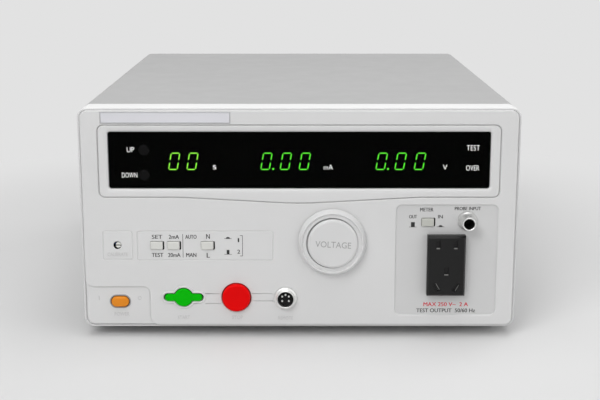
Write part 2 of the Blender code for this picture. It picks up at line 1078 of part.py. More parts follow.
def make_stop_control():
    x, z = from_left(stop_from_left), rise_at(stop_rise)
    profile = [
        (0.0, -stop_proud),
        (stop_radius * 0.6, -stop_proud + 0.0003),
        (stop_radius - 0.0012, -stop_proud + 0.0010),
        (stop_radius, -stop_proud + 0.0022),
        (stop_radius, cap_inside),
        (0.0, cap_inside),
    ]
    button = turned("stop_button", profile, x, z)
    add_stem(button, "stop", x, z)
    paint(red_moulding, button)
    size = stop_radius * 2 + 0.003
    make_switch("stop_switch", x, z, size, size, round_switch_depth, stop_travel)


def make_key(name, x, z, face):
    outline = rounded_at(x, z, key_width, key_height, 0.0)
    key = plate(name + "_key", [outline], face - key_proud, cap_inside)
    add_stem(key, name, x, z)
    paint(ivory_moulding, key)


def make_keys():
    """Three keys share one switch bank, and the meter key has its own switch."""
    z = rise_at(key_rise)
    places = [from_left(place) for place in key_places.values()]
    for name, x in zip(key_places, places):
        make_key(name, x, z, 0.0)
    left = min(places) - switch_width / 2.0
    right = max(places) + switch_width / 2.0
    back = switch_front + switch_depth
    bank = centred_block(
        "key_switch_bank", (left + right) / 2.0, z, right - left, switch_height, switch_front, back
    )
    for number, x in enumerate(places):
        cut(bank, stem_well(f"bank_well_{number}", x, z, key_travel))
    paint(black_moulding, bank)
    x, z = from_right(meter_key_from_right), rise_at(meter_key_rise)
    make_key("meter", x, z, sub_panel_step)
    make_switch("meter_switch", x, z, switch_width, switch_height, switch_depth, key_travel)


def make_trimmer():
    x, z = from_left(trimmer_from_left), rise_at(trimmer_rise)
    body_back = switch_front + trimmer_body_depth
    size = trimmer_body_size
    body = centred_block("trimmer_body", x, z, size, size, switch_front, body_back)
    bore = trimmer_stem_radius + clearance
    cut(body, rod("trimmer_bore", bore, x, z, switch_front - 0.002, body_back - 0.0015, small_sides))
    paint(blue_moulding, body)
    head_back = switch_front - clearance
    tip = body_back - 0.0015 - clearance
    profile = [
        (0.0, trimmer_setback),
        (trimmer_radius, trimmer_setback),
        (trimmer_radius, head_back),
        (trimmer_stem_radius, head_back),
        (trimmer_stem_radius, tip),
        (0.0, tip),
    ]
    screw = turned("trimmer_screw", profile, x, z, small_sides)
    slot = centred_block(
        "trimmer_slot", x, z, trimmer_radius * 3, trimmer_slot, trimmer_setback - 0.001, trimmer_setback + 0.001
    )
    cut(screw, slot)
    paint(brass, screw)


# Voltage regulator


def knob_bore_end():
    """Depth where the knob's blind bore ends, ahead of the panel's face."""
    return -(knob_gap + knob_bore_depth)


def make_regulator_knob():
    front = -knob_proud
    seat = front - knob_cap_proud + knob_cap_height + clearance
    pocket = knob_cap_radius + clearance
    bore = shaft_radius + clearance
    profile = [
        (0.0, seat),
        (pocket, seat),
        (pocket, front + 0.0016),
        (pocket + 0.0016, front + 0.0018),
        (knob_radius - 0.0034, front + 0.0010),
        (knob_radius - 0.0024, front + 0.0001),
        (knob_radius - 0.0012, front + 0.0002),
        (knob_radius - 0.0003, front + 0.0012),
        (knob_radius, front + 0.0026),
        (knob_radius, -knob_gap),
        (bore, -knob_gap),
        (bore, knob_bore_end()),
        (0.0, knob_bore_end()),
    ]
    knob = turned("regulator_knob", profile, regulator_x, regulator_z, 40)
    paint(knob_moulding, knob)


def make_knob_cap():
    front = -knob_proud - knob_cap_proud
    profile = [
        (0.0, front),
        (knob_cap_radius - 0.0012, front),
        (knob_cap_radius - 0.0004, front + 0.0004),
        (knob_cap_radius, front + 0.0012),
        (knob_cap_radius, front + knob_cap_height),
        (0.0, front + knob_cap_height),
    ]
    paint(knob_moulding, turned("knob_cap", profile, regulator_x, regulator_z, 40))


def make_regulator_shaft():
    front = knob_bore_end() + clearance
    back = bracket_depth() + bracket_sheet + 0.002
    shaft = rod("regulator_shaft", shaft_radius, regulator_x, regulator_z, front, back, small_sides)
    paint(nickel, shaft)


def make_variac():
    x, z = regulator_x, regulator_z
    back = variac_front + winding_depth
    floor = variac_front + winding_wall
    outer_wall = winding_radius - winding_wall
    inner_wall = winding_bore + winding_wall
    channel = [
        (winding_bore, variac_front),
        (winding_radius, variac_front),
        (winding_radius, back),
        (outer_wall, back),
        (outer_wall, floor),
        (inner_wall, floor),
        (inner_wall, back),
        (winding_bore, back),
    ]
    paint(copper_winding, turned("variac_winding", channel, x, z))
    core = [
        (inner_wall + clearance, floor + clearance),
        (outer_wall - clearance, floor + clearance),
        (outer_wall - clearance, back),
        (inner_wall + clearance, back),
    ]
    paint(core_steel, turned("variac_core", core, x, z))


def make_variac_bracket():
    x, z = regulator_x, regulator_z
    front = bracket_depth()
    low = rise_at(tray_sheet + clearance)
    back = front + bracket_sheet
    bracket = block(
        "variac_bracket",
        (x - bracket_half_width, front, low),
        (x + bracket_half_width, back, z + winding_radius * 0.8),
    )
    foot = block(
        "variac_foot",
        (x - bracket_half_width, front, low),
        (x + bracket_half_width, front + bracket_foot, low + bracket_sheet),
    )
    join(bracket, foot)
    join(bracket, rod("bushing", bushing_radius, x, z, front - bushing_length, back, small_sides))
    bore = shaft_radius + clearance
    cut(bracket, rod("bushing_bore", bore, x, z, front - bushing_length - 0.01, back + 0.01, small_sides))
    paint(zinc_plate, bracket)


def make_brush_arm():
    x, z = regulator_x, regulator_z
    face = variac_front - clearance
    hub_front = face - brush_hub_length - 0.002
    hub_back = face - 0.002
    arm = rod("brush_arm", brush_hub_radius, x, z, hub_front, hub_back, small_sides)
    half = brush_arm_width / 2.0
    bar_front = hub_back - brush_arm_thickness - 0.002
    bar = block(
        "brush_bar",
        (x - half, bar_front, z - brush_radius - half),
        (x + half, bar_front + brush_arm_thickness, z),
    )
    join(arm, bar)
    brush = centred_block(
        "brush_block", x, z - brush_radius, brush_size, brush_size, bar_front + 0.001, face
    )
    join(arm, brush)
    bore = shaft_radius + clearance
    cut(arm, rod("brush_bore", bore, x, z, hub_front - 0.01, face + 0.01, small_sides))
    paint(brass, arm)


# Isolating transformer


def transformer_front():
    return bracket_depth() + bracket_foot + core_behind_bracket


def transformer_x():
    """The transformer's strap stands just to the right of the main board."""
    strap_reach = core_width / 2.0 + clearance + strap_sheet + strap_foot
    board_right = from_left(main_board_from_left) + main_board_width
    return board_right + strap_beside_board + strap_reach


def make_transformer():
    x = transformer_x()
    low = rise_at(tray_sheet + strap_sheet + 2 * clearance)
    front = transformer_front()
    back = front + core_stack
    half = core_width / 2.0
    leg = core_leg / 2.0
    high = low + core_height
    window_low, window_high = low + core_yoke, high - core_yoke
    outlines = [
        [(x - half, low), (x + half, low), (x + half, high), (x - half, high)],
        [
            (x - half + core_yoke, window_low),
            (x - leg, window_low),
            (x - leg, window_high),
            (x - half + core_yoke, window_high),
        ],
        [
            (x + leg, window_low),
            (x + half - core_yoke, window_low),
            (x + half - core_yoke, window_high),
            (x + leg, window_high),
        ],
    ]
    core = plate("transformer_core", outlines, front, back)
    paint(core_steel, core)
    reach = half - core_yoke - clearance
    coil = block(
        "transformer_coil",
        (x - reach, front - coil_overhang, window_low + clearance),
        (x + reach, back + coil_overhang, window_high - clearance),
    )
    hollow = block(
        "coil_hollow",
        (x - leg - clearance, front - clearance, window_low - 0.001),
        (x + leg + clearance, back + clearance, window_high + 0.001),
    )
    cut(coil, hollow)
    paint(coil_tape, coil)
    make_transformer_strap(x, low, high, front, back)


def make_transformer_strap(x, low, high, front, back):
    """A bent strap round the core's stack, with a foot at each side."""
    half = core_width / 2.0 + clearance
    outside = half + strap_sheet
    base = rise_at(tray_sheet + clearance)
    top = high + clearance + strap_sheet
    outline = [
        (x - outside - strap_foot, base),
        (x + outside + strap_foot, base),
        (x + outside + strap_foot, base + strap_sheet),
        (x + outside, base + strap_sheet),
        (x + outside, top),
        (x - outside, top),
        (x - outside, base + strap_sheet),
        (x - outside - strap_foot, base + strap_sheet),
    ]
    opening = [
        (x - half, low - clearance),
        (x + half, low - clearance),
        (x + half, high + clearance),
        (x - half, high + clearance),
    ]
    inset = core_stack * 0.2
    strap = plate("transformer_strap", [outline, opening], front + inset, back - inset)
    paint(zinc_plate, strap)


# Main board


def make_main_board():
    left = from_left(main_board_from_left)
    front = main_board_front()
    low = rise_at(tray_sheet + main_board_stand)
    high = low + board_thickness
    right, back = left + main_board_width, front + main_board_length
    board = block("main_board", (left, front, low), (right, back, high))
    paint(circuit_board, board)
    base = high + clearance
    x, near = left + supply_from_left, front + supply_from_front
    top = base + supply_height
    supply = block("supply_transformer", (x, near, base), (x + supply_width, near + supply_length, top))
    paint(coil_tape, supply)
    x, near = left + relay_from_left, front + relay_from_front
    top = base + relay_height
    relay = block("output_relay", (x, near, base), (x + relay_width, near + relay_length, top))
    paint(blue_moulding, relay)
    x, y = left + capacitor_from_left, depth_at(front + capacitor_from_front)
    top = (x, y, base + capacitor_height)
    paint(black_moulding, cylinder("smoothing_capacitor", capacitor_radius, (x, y, base), top, 24))


# Remote connector


def make_remote_connector():
    x, z = from_left(remote_from_left), rise_at(remote_rise)
    flange_front = -remote_flange - clearance
    front = -remote_proud
    back = front + remote_length
    profile = [
        (remote_barrel_radius - 0.0006, front),
        (remote_barrel_radius, front + 0.0006),
        (remote_barrel_radius, flange_front),
        (remote_flange_radius - 0.0005, flange_front),
        (remote_flange_radius, flange_front + 0.0006),
        (remote_flange_radius, -clearance),
        (remote_barrel_radius, -clearance),
        (remote_barrel_radius, back),
        (remote_bore_radius, back),
        (remote_bore_radius, front),
    ]
    paint(nickel, turned("connector_shell", profile, x, z, 24))
    insert_front = front + remote_insert_recess
    insert_back = insert_front + remote_insert_length
    insert_radius = remote_bore_radius - clearance
    insert = rod("connector_insert", insert_radius, x, z, insert_front, insert_back, 24)
    carrier_front = insert_back + clearance
    pins = rod("connector_pins", insert_radius - 0.0005, x, z, carrier_front, carrier_front + 0.001, small_sides)
    for number, angle in enumerate(pin_angles):
        pin_x = x + pin_circle * math.cos(math.radians(angle))
        pin_z = z + pin_circle * math.sin(math.radians(angle))
        hole = pin_radius + clearance
        cut(insert, rod(f"pin_hole_{number}", hole, pin_x, pin_z, insert_front - 0.001, insert_back + 0.001, 10))
        pin = rod(
            f"pin_{number}",
            pin_radius,
            pin_x,
            pin_z,
            insert_front - pin_proud,
            carrier_front + 0.0005,
            10,
        )
        join(pins, pin)
    paint(black_moulding, insert)
    paint(nickel, pins)


# High side


def make_test_jack():
    x, z = from_right(jack_from_right), rise_at(jack_rise)
    seat = sub_panel_step - clearance
    front = sub_panel_step - jack_proud
    flange_front = seat - 0.0018
    profile = [
        (jack_ring_radius - 0.0005, front),
        (jack_ring_radius, front + 0.0006),
        (jack_ring_radius, front + 0.0020),
        (jack_flange_radius - 0.0012, flange_front - 0.0008),
        (jack_flange_radius, flange_front),
        (jack_flange_radius, seat),
        (jack_thread_radius, seat),
        (jack_thread_radius, seat + jack_thread_length),
        (0.0, seat + jack_thread_length),
    ]
    bore = [
        (0.0, panel_thickness),
        (jack_bore_radius, panel_thickness),
        (jack_bore_radius, front),
    ]
    jack = turned("test_jack", bore + profile, x, z, 24)
    paint(nickel, jack)


def outlet_slots():
    """Each slot's centre, width, height and lean in degrees."""
    x, z = outlet_centre()
    half = blade_spacing / 2.0
    slant = slant_spacing / 2.0
    return (
        (x - half, z + blade_above, blade_slot_width, blade_slot_height, 0),
        (x + half, z + blade_above, blade_slot_width, blade_slot_height, 0),
        (x, z - earth_below, earth_slot_width, blade_slot_width, 0),
        (x - slant, z - slant_below, blade_slot_width, blade_slot_height, slant_angle),
        (x + slant, z - slant_below, blade_slot_width, blade_slot_height, -slant_angle),
    )


def slot_bar(name, slot, shrink, front, back):
    x, z, width, height, lean = slot
    bar = centred_block(name, x, z, width - shrink, height - shrink, front, back)
    bar.rotation_euler = (0.0, math.radians(-lean), 0.0)
    return bar


def make_outlet():
    x, z = outlet_centre()
    seat = sub_panel_step - clearance
    front = sub_panel_step - outlet_proud
    socket = centred_block("outlet_socket", x, z, outlet_width, outlet_height, front, seat)
    edge = socket.modifiers.new("soft_edges", "BEVEL")
    edge.width = outlet_chamfer
    edge.segments = 1
    edge.limit_method = "WEIGHT"
    weigh_front_edges(socket)
    inset = 2 * outlet_body_inset
    body_back = seat + outlet_body_depth
    body = centred_block(
        "outlet_body", x, z, outlet_width - inset, outlet_height - inset, seat - 0.001, body_back
    )
    join(socket, body)
    plate_front = body_back + clearance
    contacts = centred_block(
        "outlet_contacts",
        x,
        z,
        outlet_width - inset,
        outlet_height - inset,
        plate_front,
        plate_front + contact_plate,
    )
    play = blade_slot_width - contact_thickness
    for number, slot in enumerate(outlet_slots()):
        cut(socket, slot_bar(f"slot_{number}", slot, 0.0, front - 0.002, body_back + 0.002))
        reach = plate_front - contact_reach
        join(contacts, slot_bar(f"contact_{number}", slot, play, reach, plate_front + 0.0005))
    paint(black_moulding, socket)
    paint(brass, contacts)


def weigh_front_edges(made):
    """Marks the front face's edges for the bevel."""
    weights = made.data.attributes.new("bevel_weight_edge", "FLOAT", "EDGE")
    front = min(corner.co.y for corner in made.data.vertices)
    for edge in made.data.edges:
        ends = [made.data.vertices[index].co.y for index in edge.vertices]
        weights.data[edge.index].value = 1.0 if max(ends) < front + 0.0001 else 0.0


# Rear fittings


def make_mains_inlet():
    x, z = from_left(inlet_from_left), rise_at(inlet_rise)
    seat = rear_face + clearance
    face = seat + inlet_flange
    inlet = centred_block("mains_inlet", x, z, inlet_flange_width, inlet_flange_height, seat, face)
    body = centred_block(
        "inlet_body",
        x,
        z,
        inlet_body_width,
        inlet_body_height,
        rear_face - inlet_body_depth,
        seat + 0.001,
    )
    join(inlet, body)
    floor = face - inlet_cavity_depth
    wall = 2 * inlet_wall
    cavity = centred_block(
        "inlet_cavity",
        x,
        z,
        inlet_body_width - wall,
        inlet_body_height - wall,
        floor,
        face + 0.002,
    )
    cut(inlet, cavity)
    for number, (across, above) in enumerate(((-0.007, -0.0015), (0.0, 0.002), (0.007, -0.0015))):
        pin = centred_block(
            f"inlet_pin_{number}",
            x + across,
            z + above,
            0.002,
            0.004,
            floor - 0.001,
            floor + inlet_pin_length,
        )
        join(inlet, pin)
    paint(black_moulding, inlet)


def make_fuse_holder():
    x, z = from_left(fuse_from_left), rise_at(fuse_rise)
    seat = rear_face + clearance
    tip = seat + fuse_cap_length
    back_end = rear_face - fuse_body_length
    profile = [
        (0.0, back_end),
        (fuse_body_radius, back_end),
        (fuse_body_radius, seat),
        (fuse_cap_radius, seat),
        (fuse_cap_radius, tip - 0.001),
        (fuse_cap_radius - 0.001, tip),
        (0.0, tip),
    ]
    holder = turned("fuse_holder", profile, x, z, 24)
    paint(black_moulding, holder)


def make_earth_terminal():
    x, z = from_left(earth_from_left), rise_at(earth_rise)
    seat = rear_face + clearance
    inner = rear_face - rear_sheet - earth_inside
    profile = [
        (0.0, inner),
        (earth_post_radius, inner),
        (earth_post_radius, seat),
        (earth_nut_radius, seat),
        (earth_nut_radius, seat + earth_nut_length - 0.001),
        (earth_nut_radius - 0.001, seat + earth_nut_length),
        (earth_post_radius, seat + earth_nut_length),
        (earth_post_radius, rear_face + earth_reach),
        (0.0, rear_face + earth_reach),
    ]
    terminal = turned("earth_terminal", profile, x, z, small_sides)
    paint(brass, terminal)


def build():
    make_front_frame()
    make_front_panel()
    make_name_plate()
    make_top_cover()
    make_bottom_tray()
    make_rear_panel()
    make_feet()
    make_cover_screws()
    make_side_grips()
    make_display_window()
    make_display_board()
    make_digit_blocks()
    make_step_buttons()
    make_power_control()
    make_start_control()
    make_stop_control()
    make_keys()
    make_trimmer()
    make_regulator_knob()
    make_knob_cap()
    make_regulator_shaft()
    make_variac()
    make_variac_bracket()
    make_brush_arm()
    make_transformer()
    make_main_board()
    make_remote_connector()
    make_test_jack()
    make_outlet()
    make_mains_inlet()
    make_fuse_holder()
    make_earth_terminal()


build()
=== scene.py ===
import math

import bmesh
import bpy
from mathutils import Matrix, Vector


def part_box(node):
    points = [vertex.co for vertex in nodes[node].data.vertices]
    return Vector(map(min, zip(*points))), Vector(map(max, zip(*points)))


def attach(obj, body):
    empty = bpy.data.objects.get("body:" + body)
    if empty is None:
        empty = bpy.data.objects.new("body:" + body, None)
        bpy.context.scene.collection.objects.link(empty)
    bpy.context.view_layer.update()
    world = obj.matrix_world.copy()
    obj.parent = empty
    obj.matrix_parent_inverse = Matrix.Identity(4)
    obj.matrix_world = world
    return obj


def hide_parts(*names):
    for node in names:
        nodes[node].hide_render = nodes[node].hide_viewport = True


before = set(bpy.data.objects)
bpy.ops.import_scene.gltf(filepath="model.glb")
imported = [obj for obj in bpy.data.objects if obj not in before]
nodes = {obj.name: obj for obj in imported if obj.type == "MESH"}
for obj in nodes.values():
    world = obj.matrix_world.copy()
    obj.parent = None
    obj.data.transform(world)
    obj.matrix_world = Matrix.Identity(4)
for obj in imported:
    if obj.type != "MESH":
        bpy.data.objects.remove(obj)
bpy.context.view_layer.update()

print("frame loaded:", len(nodes), "nodes")

# Panel space is in millimetres: x to the right, depth behind the panel's face, and up from the
# case's bottom. Every front piece is shaped there and then put in its place on the frame.
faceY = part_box("front_panel")[0].y
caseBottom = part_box("front_frame")[0].z
perMetre = 1000  # mm
toMetres = Matrix.Scale(1 / perMetre, 4)
panelSpace = Matrix.Translation((0, faceY, caseBottom)) @ toMetres
cornerSteps = 6
rimSteps = 4
mergeGap = 0.001  # mm
mergeGapInMetres = 0.000001
nodeGap = 0.000005  # metres, for the corners of the CAD's facets
flatTurn = 1  # degrees
sharpAngle = 34  # degrees
printFront = -0.04  # ink stands this far in front of the panel's face
printHeight = 0.08
penWidth = 0.16  # what bold print adds to a stroke


def cornered(corners):
    # An outline from (x, up, radius) corners: the vertex bevel rounds each corner
    shape = bmesh.new()
    verts = [shape.verts.new((x, 0, up)) for x, up, radius in corners]
    shape.faces.new(verts)
    for vert, (x, up, radius) in zip(verts, corners):
        if radius:
            bmesh.ops.bevel(
                shape, geom=[vert], offset=radius, segments=cornerSteps, profile=0.5, affect="VERTICES",
                material=-1,
            )
    shape.faces.ensure_lookup_table()
    points = [(loop.vert.co.x, loop.vert.co.z) for loop in shape.faces[0].loops]
    shape.free()
    return points


def boxed(x, up, width, height, radius):
    left, right, low, high = x - width / 2, x + width / 2, up - height / 2, up + height / 2
    return cornered([(left, low, radius), (right, low, radius), (right, high, radius), (left, high, radius)])


def spanned(left, right, low, high, radius):
    return boxed((left + right) / 2, (low + high) / 2, right - left, high - low, radius)


def around(x, up, radius, turn):
    return x + radius * math.cos(turn), up + radius * math.sin(turn)


def circled(x, up, radius, sides=64):
    return [around(x, up, radius, 2 * math.pi * (step + 0.5) / sides) for step in range(sides)]


def ribbed(x, up, ribs, inner, outer):
    return [around(x, up, outer if step % 2 else inner, math.pi * step / ribs) for step in range(ribs * 2)]


def grown(points, amount):
    # The outline moved outwards all round, or inwards for a negative amount
    if not amount:
        return list(points)
    spots = [Vector(point) for point in points]
    twiceArea = sum(spots[i - 1].cross(spots[i]) for i in range(len(spots)))
    side = 1 if twiceArea > 0 else -1
    sharpest = 0.4  # keeps the mitre of a sharp corner short
    moved = []
    for i, spot in enumerate(spots):
        before = (spot - spots[i - 1]).normalized()
        after = (spots[(i + 1) % len(spots)] - spot).normalized()
        outBefore = Vector((before.y, -before.x)) * side
        outAfter = Vector((after.y, -after.x)) * side
        mitre = (outBefore + outAfter) / max(sharpest, 1 + outBefore.dot(outAfter))
        moved.append(tuple(spot + mitre * amount))
    return moved


def chain(shape, outline, profile):
    # A wall: the outline at each (grow, depth), every loop extruded from the one before
    grow, depth = profile[0]
    verts = [shape.verts.new((x, depth, up)) for x, up in grown(outline, grow)]
    edges = [shape.edges.new((verts[i - 1], verts[i])) for i in range(len(verts))]
    first = list(edges)
    for grow, depth in profile[1:]:
        made = bmesh.ops.extrude_edge_only(shape, edges=edges)["geom"]
        new = {vert for vert in made if isinstance(vert, bmesh.types.BMVert)}
        following = []
        for vert, (x, up) in zip(verts, grown(outline, grow)):
            partner = next(e.other_vert(vert) for e in vert.link_edges if e.other_vert(vert) in new)
            partner.co = (x, depth, up)
            following.append(partner)
        verts = following
        edges = [shape.edges.get((verts[i - 1], verts[i])) for i in range(len(verts))]
    return first, edges


def fill(shape, *loops):
    edges = [edge for loop in loops for edge in loop]
    bmesh.ops.triangle_fill(shape, use_beauty=True, use_dissolve=False, edges=edges, normal=(0, -1, 0))


def closed(shape, outline, profile):
    # A wall with both of its ends filled
    for loop in chain(shape, outline, profile):
        fill(shape, loop)


def raised(shape, walls):
    # A wall for each (outline, profile): the front loops, and the back loops
    loops = [chain(shape, outline, profile) for outline, profile in walls]
    return [first for first, last in loops], [last for first, last in loops]


def rim(radius, front, back, hole=False):
    # A rounded front edge and then a straight wall, for an outer edge or for a hole
    side = 1 if hole else -1
    points = []
    for step in range(rimSteps + 1):
        turn = math.pi / 2 * step / rimSteps
        points.append((side * radius * (1 - math.sin(turn)), front + radius * (1 - math.cos(turn))))
    return points + [(0, back)]


def slab(shape, outline, front, back, radius, holes=()):
    # A plate with rounded front edges, round its holes too
    walls = [(outline, rim(radius, front, back))]
    walls += [(hole, rim(holeRadius, front, back, hole=True)) for hole, holeRadius in holes]
    fronts, backs = raised(shape, walls)
    fill(shape, *fronts)
    fill(shape, *backs)


def hoop(shape, outline, profile):
    # A closed ring with the profile as its section
    chain(shape, outline, list(profile) + [profile[0]])


def add(shape, part, place=None):
    mesh = bpy.data.meshes.new("part")
    part.to_mesh(mesh)
    part.free()
    if place:
        mesh.transform(place)
    shape.from_mesh(mesh)
    bpy.data.meshes.remove(mesh)


def turned(shape, profile, place=None, sides=72):
    # A (radius, depth) profile spun about the depth axis, then put in its place
    part = bmesh.new()
    verts = [part.verts.new((radius, depth, 0)) for radius, depth in profile]
    edges = [part.edges.new(pair) for pair in zip(verts, verts[1:])]
    bmesh.ops.spin(
        part,
        geom=verts + edges,
        cent=(0, 0, 0),
        axis=(0, 1, 0),
        dvec=(0, 0, 0),
        angle=2 * math.pi,
        steps=sides,
        use_merge=True,
        use_normal_flip=False,
        use_duplicate=False,
    )
    bmesh.ops.remove_doubles(part, verts=part.verts, dist=mergeGap)
    bmesh.ops.recalc_face_normals(part, faces=part.faces)
    add(shape, part, place)


def at(x, up, depth=0):
    return Matrix.Translation((x, depth, up))


def quarterTurn(axis):
    return Matrix.Rotation(math.radians(90), 4, axis)


def word(shape, text, x, up, width, height, front=printFront, thickness=printHeight, lean=0, bold=0, thin=0):
    # Letters of that exact width and height, standing on the face
    letters = bpy.data.curves.new("letters", "FONT")
    letters.body = text
    letters.extrude = 0.5
    letters.resolution_u = 3
    letters.offset = -thin
    holder = bpy.data.objects.new("letters", letters)
    mesh = bpy.data.meshes.new_from_object(holder)
    bpy.data.objects.remove(holder)
    bpy.data.curves.remove(letters)
    xs = [vert.co.x for vert in mesh.vertices]
    ys = [vert.co.y for vert in mesh.vertices]
    middle = Vector(((min(xs) + max(xs)) / 2, (min(ys) + max(ys)) / 2, 0))
    size = Vector((width / (max(xs) - min(xs)), height / (max(ys) - min(ys)), thickness))
    mesh.transform(Matrix.Translation(-middle))
    mesh.transform(Matrix.Diagonal((*size, 1)))
    mesh.transform(quarterTurn("X"))
    mesh.transform(Matrix.Rotation(math.radians(lean), 4, "Y"))
    mesh.transform(Matrix.Translation((x - bold / 2, front + thickness / 2, up)))
    shape.from_mesh(mesh)
    if bold:
        # A second print a little to the right makes the strokes heavier
        mesh.transform(Matrix.Translation((bold, thickness * 0.1, 0)))
        shape.from_mesh(mesh)
    bpy.data.meshes.remove(mesh)


def bar(shape, x, up, width, height, front=printFront):
    slab(shape, boxed(x, up, width, height, 0), front, front + printHeight, 0)


def finishPiece(shape, name, material, slot, body="case", replaced=(), space=panelSpace, soften=0):
    gap = mergeGap if space else mergeGapInMetres
    bmesh.ops.remove_doubles(shape, verts=shape.verts, dist=gap)
    bmesh.ops.recalc_face_normals(shape, faces=shape.faces)
    if space:
        bmesh.ops.transform(shape, matrix=space, verts=shape.verts)
    mesh = bpy.data.meshes.new(name)
    shape.to_mesh(mesh)
    shape.free()
    mesh.shade_smooth()
    mesh.set_sharp_from_angle(angle=math.radians(sharpAngle))
    piece = bpy.data.objects.new(name, mesh)
    bpy.context.scene.collection.objects.link(piece)
    mesh.materials.append(material)
    if soften:
        edge = piece.modifiers.new("softEdges", "BEVEL")
        edge.width = soften
        edge.segments = 2
        edge.limit_method = "ANGLE"
        edge.angle_limit = math.radians(sharpAngle)
        edge.use_clamp_overlap = True
    flat = piece.modifiers.new("flatFaces", "WEIGHTED_NORMAL")
    flat.keep_sharp = True
    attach(piece, body)
    if replaced:
        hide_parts(*replaced)
    return piece


def dressed(name, material, slot, soften):
    # A merged copy of a CAD node with softened edges stands for the node
    shape = bmesh.new()
    shape.from_mesh(nodes[name].data)
    bmesh.ops.remove_doubles(shape, verts=shape.verts, dist=nodeGap)
    bmesh.ops.dissolve_limit(
        shape, angle_limit=math.radians(flatTurn), verts=shape.verts, edges=shape.edges, delimit={"NORMAL"}
    )
    return finishPiece(shape, name + "_shell", material, slot, replaced=(name,), space=None, soften=soften)


def carved(shape, cutter):
    # The shape without the cutter: both are closed
    made = []
    for name, part in (("whole", shape), ("cutter", cutter)):
        bmesh.ops.remove_doubles(part, verts=part.verts, dist=mergeGap)
        bmesh.ops.recalc_face_normals(part, faces=part.faces)
        mesh = bpy.data.meshes.new(name)
        part.to_mesh(mesh)
        part.free()
        thing = bpy.data.objects.new(name, mesh)
        bpy.context.scene.collection.objects.link(thing)
        made.append(thing)
    whole, knife = made
    cut = whole.modifiers.new("cut", "BOOLEAN")
    cut.object = knife
    cut.solver = "EXACT"
    cut.operation = "DIFFERENCE"
    bpy.context.view_layer.update()
    result = bmesh.new()
    result.from_object(whole, bpy.context.evaluated_depsgraph_get())
    for thing in made:
        mesh = thing.data
        bpy.data.objects.remove(thing)
        bpy.data.meshes.remove(mesh)
    return result


effectOutputs = ("Color", "Roughness", "Height")


def newGroup(name, inputs):
    # A shared effect, with its named inputs and their starting values
    group = bpy.data.node_groups.new(name, "ShaderNodeTree")
    for label, value in inputs.items():
        kind = "NodeSocketColor" if isinstance(value, tuple) else "NodeSocketFloat"
        socket = group.interface.new_socket(name=label, in_out="INPUT", socket_type=kind)
        socket.default_value = value
    for label in effectOutputs:
        kind = "NodeSocketColor" if label == "Color" else "NodeSocketFloat"
        group.interface.new_socket(name=label, in_out="OUTPUT", socket_type=kind)
    return group, group.nodes.new("NodeGroupInput").outputs


def putOut(group, *sockets):
    result = group.nodes.new("NodeGroupOutput")
    for label, socket in zip(effectOutputs, sockets):
        group.links.new(socket, result.inputs[label])
    return group


def connect(tree, value, socket):
    # A link where the value is an output socket, and otherwise the socket's own value
    if isinstance(value, bpy.types.NodeSocket):
        tree.links.new(value, socket)
    else:
        socket.default_value = value


def node(tree, kind, links=(), **values):
    made = tree.nodes.new(kind)
    for label, value in values.items():
        setattr(made, label, value)
    for label, value in dict(links).items():
        connect(tree, value, made.inputs[label])
    return made


def objectSpot(tree):
    return tree.nodes.new("ShaderNodeTexCoord").outputs["Object"]


def noise(tree, scale, detail, stretch=None):
    vector = objectSpot(tree)
    if stretch:
        vector = node(tree, "ShaderNodeMapping", {"Vector": vector, "Scale": stretch}).outputs[0]
    links = {"Vector": vector, "Scale": scale, "Detail": detail}
    return node(tree, "ShaderNodeTexNoise", links).outputs["Fac"]


def ranged(tree, value, low, high, toLow, toHigh, **more):
    links = {"Value": value, "From Min": low, "From Max": high, "To Min": toLow, "To Max": toHigh}
    return node(tree, "ShaderNodeMapRange", links, **more).outputs["Result"]


def spread(tree, value, toLow, toHigh):
    # Noise mostly stays between 0.3 and 0.7
    return ranged(tree, value, 0.3, 0.7, toLow, toHigh)


def maths(tree, operation, first, second):
    return node(tree, "ShaderNodeMath", {0: first, 1: second}, operation=operation).outputs[0]


def mixed(tree, factor, first, second):
    made = tree.nodes.new("ShaderNodeMix")
    made.data_type = "RGBA"
    for index, value in ((0, factor), (6, first), (7, second)):  # the sockets that mix colours
        connect(tree, value, made.inputs[index])
    return made.outputs[2]


def shaded(tree, color, value):
    return node(tree, "ShaderNodeVectorMath", {0: color, "Scale": value}, operation="SCALE").outputs[0]


def edgeMask(tree, radius, amount):
    # Bright where the surface turns a corner
    soft = node(tree, "ShaderNodeBevel", {"Radius": radius}).outputs[0]
    plain = tree.nodes.new("ShaderNodeNewGeometry").outputs["Normal"]
    facing = node(tree, "ShaderNodeVectorMath", {0: soft, 1: plain}, operation="DOT_PRODUCT").outputs["Value"]
    turn = ranged(tree, facing, 0.98, 0.7, 0.0, 1.0)
    patchy = ranged(tree, noise(tree, 160, 4), 0.35, 0.65, 0.35, 1.0)
    return maths(tree, "MULTIPLY", maths(tree, "MULTIPLY", turn, patchy), amount)


def buildMoulded():
    # Plastic and paint: slow colour drift, fine grain, and edges rubbed towards another colour
    group, given = newGroup("mouldedFinish", {
        "Color": (0.5, 0.5, 0.5, 1),
        "Rubbed Color": (0.7, 0.7, 0.7, 1),
        "Drift": 0.02,
        "Grain Scale": 2500.0,
        "Roughness": 0.45,
        "Edge Wear": 0.3,
    })
    low = maths(group, "SUBTRACT", 1.0, given["Drift"])
    high = maths(group, "ADD", 1.0, given["Drift"])
    color = shaded(group, given["Color"], spread(group, noise(group, 14, 3), low, high))
    mask = edgeMask(group, 0.0006, given["Edge Wear"])
    color = mixed(group, mask, color, given["Rubbed Color"])
    gloss = maths(group, "ADD", given["Roughness"], spread(group, noise(group, 60, 4), -0.05, 0.05))
    return putOut(group, color, gloss, noise(group, given["Grain Scale"], 2))


